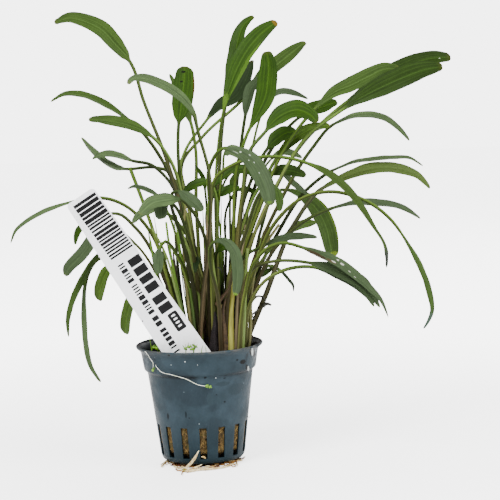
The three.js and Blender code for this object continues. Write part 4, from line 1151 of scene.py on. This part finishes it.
def makeWoolMaterials():
    m, tree, shader = newMaterial("rockwoolFibre", 0.85, 0.2)
    place = placeOf(tree)
    rise = splitOf(tree, place)["Z"]
    grain = noiseOf(tree, stretchOf(tree, place, (1.0, 1.0, 0.35)), 620.0, 6.0, Roughness=0.65)
    color = cloudTint(tree, 2.6, 2.4, "1e1506", "544420")
    color = mixColor(tree, ramp(tree, grain, 0.5, 0.68), color, rgb("6a5230"))
    color = mixColor(tree, ramp(tree, grain, 0.46, 0.3), color, rgb("0c0603"))
    color = tinted(tree, color, ramp(tree, cloudOf(tree, 6.0, 2.0), 0.6, 0.9), 0.5, "2c2e10")
    # painted shade at the foot, green and nearly black on top
    foot = mathNode(tree, "MULTIPLY_ADD", cloudOf(tree, 3.0, 1.6), 3 * mm, rise)
    color = tinted(tree, color, ramp(tree, foot, 8.2 * mm, 6.8 * mm), 0.92, "050302")
    moss = cloudTint(tree, 1.6, 2.2, "060803", "181f08")
    color = mixColor(tree, ramp(tree, rise, 38 * mm, 43 * mm), color, moss)
    setSurface(tree, shader, color, ramp(tree, grain, 0.3, 0.7, 0.95, 0.7))
    setBump(tree, shader, grain, 0.5)
    return [m, cloudMaterial("rockwoolStrand", 0.6, 0.3, (2.0, 2.2), ("3c280c", "7a6234"), (0.2, 1.0), 0.04),
            cloudMaterial("mossCrumb", 0.8, 0.2, (1.2, 2.4), ("0c0803", "28280c"), (0.25, 1.4), 0.2),
            cloudMaterial("paleCrumb", 0.7, 0.5, (0.8, 1.8), ("5c503c", "b0a898"), (0.3, 1.0), 0.1)]


def addPlug(soup):
    w = wool
    rows = [(w["bottom"], r) for r in w["underside"]]
    count = round((w["top"] - w["bottom"]) / w["rowStep"])
    for i in range(count + 1):
        z = w["bottom"] + (w["top"] - w["bottom"]) * i / count
        shrink = w["voidDepth"] * max(0, min(1, (w["voidTop"] - z) / w["voidEdge"]))
        rows.append((z, potInside(z) - w["belowWall"] - shrink))
    rows += [(w["top"], r) for r in w["topside"]]
    c = w["columns"]
    for i, (z, radius) in enumerate(rows):
        for k in range(c):
            a = 2 * math.pi * k / c
            spot = Vector((radius * math.cos(a), radius * math.sin(a), z))
            lump = noise.noise(spot * 0.32) + 0.6 * noise.noise(spot * 0.95) + 0.35 * noise.noise(spot * 2.1)
            if z < w["top"] - 0.01 and i >= len(w["underside"]):
                inner = radius - w["tufts"] * max(0, 0.25 + lump)
                soup["points"].append(np.array([inner * math.cos(a), inner * math.sin(a), z]) * mm)
            else:
                up = w["tufts"] * 0.5 * lump if i > len(w["underside"]) else 0
                soup["points"].append(np.array([spot.x, spot.y, z + up]) * mm)
            soup["map"].append((k / c, i / len(rows)))
    soup["faces"] += ringFaces(0, len(rows) - 1, c)
    soup["faces"] += [tuple(reversed(range(c))), tuple(range((len(rows) - 1) * c, len(rows) * c))]
    soup["kinds"] += [0] * len(soup["faces"])


def addFibres(soup, rng):
    # fibres that show in the slots
    w = wool
    for s in range(pot["slots"]):
        middle = math.radians(pot["firstSlot"]) + 2 * math.pi / pot["slots"] * s
        for _ in range(w["fibres"]):
            z = rng.uniform(*w["fibreHeight"])
            a = middle + rng.uniform(-w["fibreSpread"], w["fibreSpread"])
            heading = rng.gauss(math.pi / 2, 0.7)
            length = rng.uniform(*w["fibreLength"])
            line = []
            for k in np.linspace(-0.5, 0.5, 6):
                lowest, highest = w["fibreLimits"]
                z1 = min(max(z + length * k * math.sin(heading), lowest), highest)
                a1 = a + length * k * math.cos(heading) / 18
                out = potInside(z1) - 0.06 - 0.5 * abs(k) - 0.12 * rng.random()
                line.append(np.array([out * math.sin(a1), -out * math.cos(a1), z1]) * mm)
            radius = rng.uniform(*w["fibreRadius"])
            addTube(soup, line, [radius * mm] * len(line), sides=4, kind=1)


def addCrumbs(soup, rng):
    # dirt, moss and a few pale grains on the top
    w = wool
    for i in range(w["crumbs"]):
        a, r = rng.uniform(0, 6.28), w["crumbsOut"] * math.sqrt(rng.uniform(0.12, 1))
        size = rng.uniform(*w["crumbSize"])
        spot = np.array([r * math.cos(a), r * math.sin(a), w["top"] + 0.3 * size]) * mm
        sizes = np.array([size, size * 0.8, size * 0.6]) * mm
        addLump(soup, spot, sizes, 3 if i % w["paleEvery"] == 0 else 2, i, 0.6, 5, 7)
    addLump(soup, inFront(20.7, 50.2, 2), np.array([1.5, 1.0, 0.7]) * mm, 3, 5, 0.5)
    addLump(soup, inFront(24.2, 51.2, 2), np.array([1.0, 0.8, 0.5]) * mm, 2, 9, 0.5)


def makeWool():
    rng = random.Random(21)
    soup = newSoup()
    addPlug(soup)
    addFibres(soup, rng)
    addCrumbs(soup, rng)
    finishSoup("rockwool_plug", soup, makeWoolMaterials(), "rockwool", "rockwool")
    print("rockwool:", len(soup["faces"]), "faces")


makeWool()

# plant label

label = {
    "foot": (3.9, -17, 36),  # middle of its lower end, millimetres as all of these
    "lean": 31.9,            # degrees
    "length": 97,
    "footWidth": 18.2,
    "topWidth": 13.8,
    "thickness": 0.8,
    "corner": 1.8,
    "round": 0.14,           # rounding of its edges
    "printRise": 0.03,
    # print, from the top down and across from the left edge
    "bars": {"from": 2.0, "to": 29.6, "left": 2.2, "slope": 0.045, "fromRight": 0.6,
             "thick": (0.85, 0.9, 1.05, 1.3, 1.4, 1.8), "gaps": (0.38, 0.42, 0.45, 0.6)},
    "words": {"from": 33.6, "to": 58.5, "left": 8.8, "right": 14.7, "gap": 0.9,
              "lengths": (1.7, 3.6, 3.2, 3.9)},
    "smallWords": {"from": 33.2, "to": 88, "left": 4.3, "right": 7.2, "gap": 0.6,
                   "lengths": (1.5, 1.7, 0.7, 2.0)},
    "wordCorner": 0.3,
    "badge": {"from": 62.1, "to": 70.8, "left": 10.5, "right": 14.9, "corner": 0.8, "blocks": 4,
              "firstBlock": 1.15, "spare": 1.8, "blockLength": 0.75, "blockHalf": 0.85, "blockCorner": 0.2},
    "speck": (58.4, 0.5, 0.3),   # a dark fleck near its left edge
}


def makeLabelMaterials():
    m, tree, shader = newMaterial("labelPlastic", 0.32, 0.45)
    color = cloudTint(tree, 14.0, 0.9, "f0f0f4", "fbfbfd")
    rise = splitOf(tree, placeOf(tree))["Z"]
    # darker towards its foot, in clouds
    darkerBelow = times(tree, ramp(tree, rise, 62 * mm, 50 * mm), cloudOf(tree, 2.5, 1.8))
    color = tinted(tree, color, darkerBelow, 0.35, "9a9886")
    color = tinted(tree, color, specksOf(tree, 0.9, 0.02), 0.5, "6c6a5c")
    setSurface(tree, shader, color, cloudRange(tree, 6.0, 1.4, 0.26, 0.4))
    setBump(tree, shader, cloudOf(tree, 1.0, 1.0), 0.03, 0.6)
    ink, tree, shader = newMaterial("labelInk", 0.45, 0.2)
    worn = ramp(tree, cloudOf(tree, 0.5, 1.8), 0.75, 1.0)
    color = tinted(tree, rgb("040405"), worn, 0.4, "1c1c20")
    setSurface(tree, shader, color, ramp(tree, worn, 0, 1, 0.4, 0.55))
    return [m, ink]


def labelPoint(down, across, out):
    # a place on the label from its top, its middle line and its front face
    l = label
    lean = math.radians(l["lean"])
    up = l["length"] - down
    return Vector((l["foot"][0] - math.sin(lean) * up + math.cos(lean) * across,
                   l["foot"][1] - l["thickness"] / 2 - out,
                   l["foot"][2] + math.cos(lean) * up + math.sin(lean) * across)) * mm


def halfWidth(down):
    l = label
    return (l["topWidth"] + (l["footWidth"] - l["topWidth"]) * down / l["length"]) / 2


def addPlate(bm, outline, near, far, kind):
    # a closed plate between two distances from the label's front
    front = [bm.verts.new(labelPoint(d, a, near)) for d, a in outline]
    back = [bm.verts.new(labelPoint(d, a, far)) for d, a in outline]
    made = [bm.faces.new(front), bm.faces.new(list(reversed(back)))]
    for i in range(len(outline)):
        n = (i + 1) % len(outline)
        made.append(bm.faces.new((front[n], front[i], back[i], back[n])))
    for face in made:
        face.material_index = kind


def addPrint(bm, outline, kind=1, layer=1):
    # a plate a little proud of the front and sunk in the label behind
    rise = label["printRise"] * layer
    addPlate(bm, outline, rise, -rise, kind)


def roundedOutline(d0, d1, a0, a1, corner, steps=5):
    outline = []
    for d, a, start in ((d1 - corner, a1 - corner, 0), (d1 - corner, a0 + corner, 3),
                        (d0 + corner, a0 + corner, 2), (d0 + corner, a1 - corner, 1)):
        turns = [start * math.pi / 2 + math.pi / 2 * k / steps for k in range(steps + 1)]
        outline += [(d + corner * math.cos(t), a + corner * math.sin(t)) for t in turns]
    return sorted(outline, key=lambda p: math.atan2(p[1] - (a0 + a1) / 2, p[0] - (d0 + d1) / 2))


def addLabelBody(bm):
    l = label
    outline = [(l["length"], -halfWidth(l["length"])), (l["length"], halfWidth(l["length"]))]
    head = l["topWidth"] / 2
    for side, order in ((1, range(7)), (-1, range(6, -1, -1))):
        for k in order:
            t = math.pi / 2 * k / 6
            across = side * (head - l["corner"] * (1 - math.cos(t)))
            outline.append((l["corner"] * (1 - math.sin(t)), across))
    addPlate(bm, outline, 0, -l["thickness"], 0)
    bmesh.ops.recalc_face_normals(bm, faces=bm.faces)
    rims = [e for e in bm.edges if e.calc_face_angle() > math.radians(50)]
    bmesh.ops.bevel(bm, geom=rims, offset=l["round"] * mm, segments=2, affect="EDGES")


def makeLabel():
    l = label
    bm = bmesh.new()
    addLabelBody(bm)
    # bars of uneven width
    rng = random.Random(5)
    b = l["bars"]
    down = b["from"]
    while down < b["to"]:
        thick = rng.choice(b["thick"])
        left = -halfWidth(down) + b["left"] + b["slope"] * down
        right = halfWidth(down) - b["fromRight"]
        addPrint(bm, [(down, left), (down + thick, left), (down + thick, right), (down, right)])
        down += thick + rng.choice(b["gaps"])
    # plain blocks in the place of words
    for w in (l["words"], l["smallWords"]):
        down = w["from"]
        while down < w["to"]:
            length = rng.choice(w["lengths"])
            left = -halfWidth(down)
            sides = left + w["left"], left + w["right"]
            addPrint(bm, roundedOutline(down, down + length, *sides, l["wordCorner"]))
            down += length + w["gap"] * rng.choice((1, 1, 1, 1, 2.6))
    g = l["badge"]
    left = -halfWidth(g["from"])
    sides = left + g["left"], left + g["right"]
    addPrint(bm, roundedOutline(g["from"], g["to"], *sides, g["corner"]))
    middle = sum(sides) / 2
    for k in range(g["blocks"]):
        down = g["from"] + g["firstBlock"] + k * (g["to"] - g["from"] - g["spare"]) / g["blocks"]
        addPrint(bm, roundedOutline(down, down + g["blockLength"], middle - g["blockHalf"],
                                    middle + g["blockHalf"], g["blockCorner"]), 0, 2)
    down, across, half = l["speck"]
    across -= halfWidth(down)
    addPrint(bm, roundedOutline(down - half, down + half, across - half, across + half, half * 0.7))
    bmesh.ops.recalc_face_normals(bm, faces=bm.faces)
    mesh = bpy.data.meshes.new("plant_label")
    bm.to_mesh(mesh)
    bm.free()
    linkPiece("plant_label", mesh, makeLabelMaterials(), "label_plastic", "label", smooth=False)
    print("label:", len(mesh.polygons), "faces")


makeLabel()

# roots under and beside the pot's foot

roots = {
    # strands on the floor: colour, radius, how many finer ones go along, and places as (x, y) or
    # (x, y, z) in millimetres
    "strands": [
        (0, 0.50, 1, [(-17.8, -12.4), (-16.9, -6.5), (-15.7, -1.8), (-14.3, -3.3), (-12.2, -7.9),
                      (-9.9, -11.8), (-8.1, -16.3), (-7.4, -20.6)]),
        (0, 0.46, 0, [(-13.0, -8.3), (-12.0, -13.3), (-10.5, -16.1), (-8.6, -18.0), (-7.5, -20.4)]),
        (1, 0.34, 0, [(-11.8, -17.5), (-10.1, -20.7), (-8.5, -21.5)]),
        (2, 0.55, 2, [(-9.9, -11.2), (-6.7, -12.3), (-2.4, -12.2), (1.4, -11.8), (5.1, -11.2)]),
        (0, 0.62, 1, [(-7.8, -21.2), (-6.3, -23.0), (-3.7, -21.6), (-1.1, -19.5), (1.5, -18.7), (4.2, -17.0),
                      (5.7, -13.7), (7.5, -9.7), (9.4, -8.2), (12.1, -6.2), (14.8, -3.9), (16.7, -6.9)]),
        (0, 0.48, 0, [(-6.3, -23.6), (-1.1, -20.9), (2.9, -20.5), (6.9, -18.8), (9.5, -16.9), (12.2, -13.7),
                      (14.3, -11.4)]),
        (1, 0.40, 1, [(8.2, -17.6), (10.8, -13.3), (13.2, -8.8), (15.3, -5.7), (17.0, -5.1)]),
        (0, 0.32, 0, [(14.4, -6.6), (14.7, -11.5), (14.8, -16.3)]),
        (1, 0.30, 0, [(-8.0, -21.0), (-8.5, -25.5), (-8.7, -28.9)]),
        (1, 0.26, 0, [(12.2, -15.7), (12.4, -14.2), (12.9, -13.0), (13.6, -13.4), (13.9, -14.9),
                      (13.6, -16.8), (12.9, -17.4), (12.3, -16.4)]),
        (1, 0.45, 2, [(17, 6), (12, 12), (5, 13), (0, 8)]),
        (1, 0.45, 2, [(-17, 4), (-14, 11), (-7, 13), (-2, 8)]),
        (0, 0.62, 0, [(-8.0, -21.6, 0.7), (-7.0, -19.9, 1.4), (-5.2, -19.8, 3.2), (-3.9, -19.8, 4.5),
                      (-2.5, -19.8, 6.6), (-1.3, -19.9, 8.7)]),
        (0, 0.56, 0, [(-7.6, -22.4, 0.6), (-6.4, -20.4, 0.7), (-4.3, -19.7, 0.9), (-2.1, -19.6, 1.7),
                      (-0.2, -19.7, 2.7)]),
        (0, 0.42, 0, [(1.4, -17.6, 4.6), (0.9, -18.4, 5.6), (-0.2, -18.9, 5.8)]),
    ],
    "knot": (-7.7, -21.4, 0.8),
    "knotSizes": (1.1, 1.4, 0.7),
    "flatHeight": 0.65,
    "thinner": (0.35, 0.6),  # a finer strand's radius against its neighbour's
    "fine": 26,             # roots that wind round under the foot
    "fineRadius": (0.12, 0.3),
    "fineOut": (12.5, 18.4),
    "fineHeight": (0.3, 1.4),
    "ceiling": 1.75,        # the pot's underside, less a little
    "underPot": 18,         # radius within which the ceiling holds
    "felt": (14.6, 14.6, 0.68),   # half sizes of the matted roots under the pot, kept dark as painted shadow under it
    "feltHeight": 0.85,
}


def makeRootMaterials():
    made = []
    # the felt's colours are kept dark as painted shadow under the pot
    for name, low, high in (("rootPale", "a4844a", "eadcb0"), ("rootTan", "5a3210", "a87838"),
                            ("rootBrown", "341408", "5c2e12"), ("rootFeltShadow", "1c0f03", "3c240a"),
                            ("rootKnot", "6a5c14", "a89a48")):
        m, tree, shader = newMaterial(name, 0.55, 0.35)
        tip = ramp(tree, splitOf(tree, pieceMapOf(tree))["Y"], 0.8, 1.0)
        color = mixColor(tree, tip, cloudTint(tree, 2.2, 2.0, low, high), rgb(high))
        setSurface(tree, shader, color, cloudRange(tree, 0.7, 1.4, 0.42, 0.7))
        setBump(tree, shader, cloudOf(tree, 0.5, 1.4), 0.15, 0.8)
        made.append(m)
    return made


def wander(line, amount, seed):
    moved = []
    for i, point in enumerate(line):
        swing = noise.noise_vector(Vector((i * 0.35, seed * 3.1, 0))) * amount * mm
        moved.append(point + np.array([swing.x, swing.y, swing.z * 0.4]))
    return moved


def makeRoots():
    r = roots
    rng = random.Random(31)
    noise.seed_set(31)   # for the strands' wander
    soup = newSoup()
    for i, (kind, thick, finer, route) in enumerate(r["strands"]):
        rises = len(route[-1]) > 2
        points = [np.array([p[0], p[1], p[2] if rises else r["flatHeight"]]) * mm for p in route]
        for n in range(1 + finer):
            line = wander(curveThrough(points, 0.9 * mm), 0.25 if n == 0 else 1.5, i * 7 + n)
            radius = thick * (1 if n == 0 else rng.uniform(*r["thinner"]))
            radii = []
            for k, point in enumerate(line):
                share = k / (len(line) - 1)
                ends = min(1, share / 0.06 + 0.45, (1 - share) / (0.45 if rises else 0.12) + 0.25)
                knot = 1 + 0.25 * noise.noise(Vector((k * 0.5, i, n)))
                radii.append(radius * ends * knot * mm)
                point[2] = max(point[2], radii[-1])
                if not rises and point[0] ** 2 + point[1] ** 2 < (r["underPot"] * mm) ** 2:
                    point[2] = min(point[2], r["ceiling"] * mm - radii[-1])
            addTube(soup, line, radii, sides=8, kind=kind if n == 0 else 1)
    addLump(soup, np.array(r["knot"]) * mm, np.array(r["knotSizes"]) * mm, 4, 3, 0.4, 9, 12)
    # the matted roots under the pot, coloured dark as painted shadow
    addLump(soup, (0, 0, r["feltHeight"] * mm), np.array(r["felt"]) * mm, 3, 8, 0.16, 11, 48)
    for i in range(r["fine"]):
        start = rng.uniform(0, 2 * math.pi)
        turn = rng.uniform(0.5, 1.7) * rng.choice((-1, 1))
        radius = rng.uniform(*r["fineRadius"])
        points = []
        for k in range(7):
            a = start + turn * k / 6
            out = rng.uniform(*r["fineOut"])
            z = rng.uniform(*r["fineHeight"])
            points.append(np.array([out * math.cos(a), out * math.sin(a), z]) * mm)
        line = wander(curveThrough(points, 0.9 * mm), 0.5, 100 + i)
        radii = []
        for k, point in enumerate(line):
            share = k / (len(line) - 1)
            radii.append(radius * min(1, share / 0.1 + 0.2, (1 - share) / 0.3 + 0.15) * mm)
            point[2] = min(max(point[2], radii[-1]), r["ceiling"] * mm - radii[-1])
        addTube(soup, line, radii, sides=6, kind=(1, 2, 1, 0, 2)[i % 5])
    finishSoup("root_strands", soup, makeRootMaterials(), "root", "root_mat")
    print("roots:", len(soup["faces"]), "faces")


makeRoots()

# seedlings on the pot's front, and sprouts inside its lip

sprigs = {
    # on the pot's wall, in the front view, with leaves as x, z and half sizes, in millimetres
    "radius": 0.11,
    "seedling_short": {"route": [(-23.7, 49.0), (-22.6, 47.6), (-21.5, 45.6), (-20.4, 43.8), (-20.5, 41.1)],
                       "leaves": [(-20.5, 40.7, 0.6, 0.6), (-20.1, 41.4, 0.45, 0.4)]},
    "seedling_long": {"route": [(-19.5, 42.9), (-17.5, 40.1), (-12.3, 38.2), (-6.3, 36.2), (-0.4, 33.2),
                                (2.2, 32.8)],
                      "leaves": [(2.8, 32.8, 0.8, 0.6), (3.9, 32.4, 0.8, 0.55)]},
    # sprouts: route in the front view, depth and radius
    "sprouts": [
        ([(-6.0, 46), (-5.9, 49), (-5.9, 51.5)], -22.5, 0.22),
        ([(-5.9, 49.3), (-6.8, 50.4), (-7.4, 51.2)], -22.6, 0.2),
        ([(-5.9, 49.6), (-5.0, 50.8), (-4.6, 52.2)], -22.7, 0.2),
        ([(-2.6, 46), (-2.5, 49), (-2.2, 51.6)], -22.8, 0.3),
        ([(-2.5, 49.0), (-3.6, 50.6), (-4.0, 51.6)], -22.6, 0.24),
        ([(-2.4, 49.0), (-1.4, 50.4), (-0.8, 51.4)], -22.9, 0.26),
        ([(0.8, 46), (1.0, 49), (1.6, 50.8)], -22.6, 0.22),
        ([(2.6, 46), (2.8, 48.6), (2.4, 50.4)], -22.4, 0.2),
        ([(-20.4, 46), (-20.5, 50), (-19.4, 51.6), (-18.2, 51.2)], -14, 0.26),
        ([(-18.6, 46), (-18.0, 49.6), (-18.8, 51.8)], -14.5, 0.22),
        ([(-17.8, 46), (-17.2, 49.4), (-16.4, 50.8)], -15, 0.24),
        ([(-20.6, 46), (-20.9, 51), (-21.6, 55.4)], -12.5, 0.2),
    ],
    # little leaves of the sprouts: x, z, depth and size
    "clumps": [(-5.8, 49.6, -22.9, 0.8), (-4.3, 50.3, -22.9, 0.7), (-3.1, 49.1, -23.1, 0.9),
               (-1.8, 50.1, -23.1, 0.7), (-2.5, 51.0, -23.0, 0.6), (-19.6, 50.5, -14.8, 0.9),
               (-18.4, 50.0, -15.2, 0.8), (-17.5, 50.9, -15.2, 0.5)],
}


def makeSprigMaterials():
    made = []
    for name, low, high, contrast in (("seedlingStem", "ccd4b4", "f8f8f0", 1.9),
                                      ("seedlingLeaf", "375b03", "6f9c10", 2.2),
                                      ("sproutLeaf", "3e6206", "6c9a10", 2.4)):
        m, tree, shader = newMaterial(name, 0.45)
        color = cloudTint(tree, 1.4, contrast, low, high)
        setSurface(tree, shader, color, cloudRange(tree, 0.5, 1.2, 0.35, 0.6))
        setBump(tree, shader, cloudOf(tree, 0.3, 1.2), 0.06, 0.7)
        made.append(m)
    return made


def makeSprigs():
    materials = makeSprigMaterials()
    for name in ("seedling_short", "seedling_long"):
        s = sprigs[name]
        soup = newSoup()
        line = curveThrough([onPot(x, z, 1.0) for x, z in s["route"]], 0.7 * mm)
        radii = [sprigs["radius"] * mm * (1 + 0.15 * noise.noise(Vector((i * 0.7, 3, 1))))
                 for i in range(len(line))]
        addTube(soup, line, radii, sides=7)
        for i, (x, z, long, tall) in enumerate(s["leaves"]):
            addLump(soup, onPot(x, z, 1.2), np.array([long, 0.35, tall]) * mm, 1, i * 3, 0.7, 8, 12)
        finishSoup(name + "_fine", soup, materials, "seedling", name)
    soup = newSoup()
    for route, depth, radius in sprigs["sprouts"]:
        line = curveThrough([inFront(x, z, depth) for x, z in route], 0.5 * mm)
        addTube(soup, line, taper(line, 1.2 * radius, 0.3 * radius, 2), sides=6, kind=2, flat=0.6)
    for i, (x, z, depth, size) in enumerate(sprigs["clumps"]):
        addLump(soup, inFront(x, z, depth), np.array([size, 0.4, size * 0.7]) * mm, 2, i * 5, 1.1, 8, 12)
    finishSoup("sprouts", soup, materials, "seedling")
    print("seedlings and sprouts:", len(sprigs["sprouts"]))


makeSprigs()

# floor, seen brighter away from the pot

ground = {
    "half": 3.0,
    "grey": 0.93,
    "glowFrom": 0.02,
    "glowTo": 0.45,
}


def makeFloor():
    s = ground["half"]
    mesh = bpy.data.meshes.new("floor")
    mesh.from_pydata([(-s, -s, 0), (s, -s, 0), (s, s, 0), (-s, s, 0)], [], [(0, 1, 2, 3)])
    floor = bpy.data.objects.new("floor", mesh)
    bpy.context.scene.collection.objects.link(floor)
    m, tree, shader = newMaterial("paleFloor", 0.6)
    shader.inputs["Base Color"].default_value = (ground["grey"],) * 3 + (1,)
    shader.inputs["Emission Color"].default_value = (1, 1, 1, 1)
    away = addNode(tree, "ShaderNodeVectorMath", {0: placeOf(tree)}, operation="LENGTH").outputs["Value"]
    glow = ramp(tree, away, ground["glowFrom"], ground["glowTo"], *studio["floorGlow"])
    seen = addNode(tree, "ShaderNodeLightPath").outputs["Is Camera Ray"]
    tree.links.new(times(tree, glow, seen), shader.inputs["Emission Strength"])
    mesh.materials.append(m)


makeFloor()
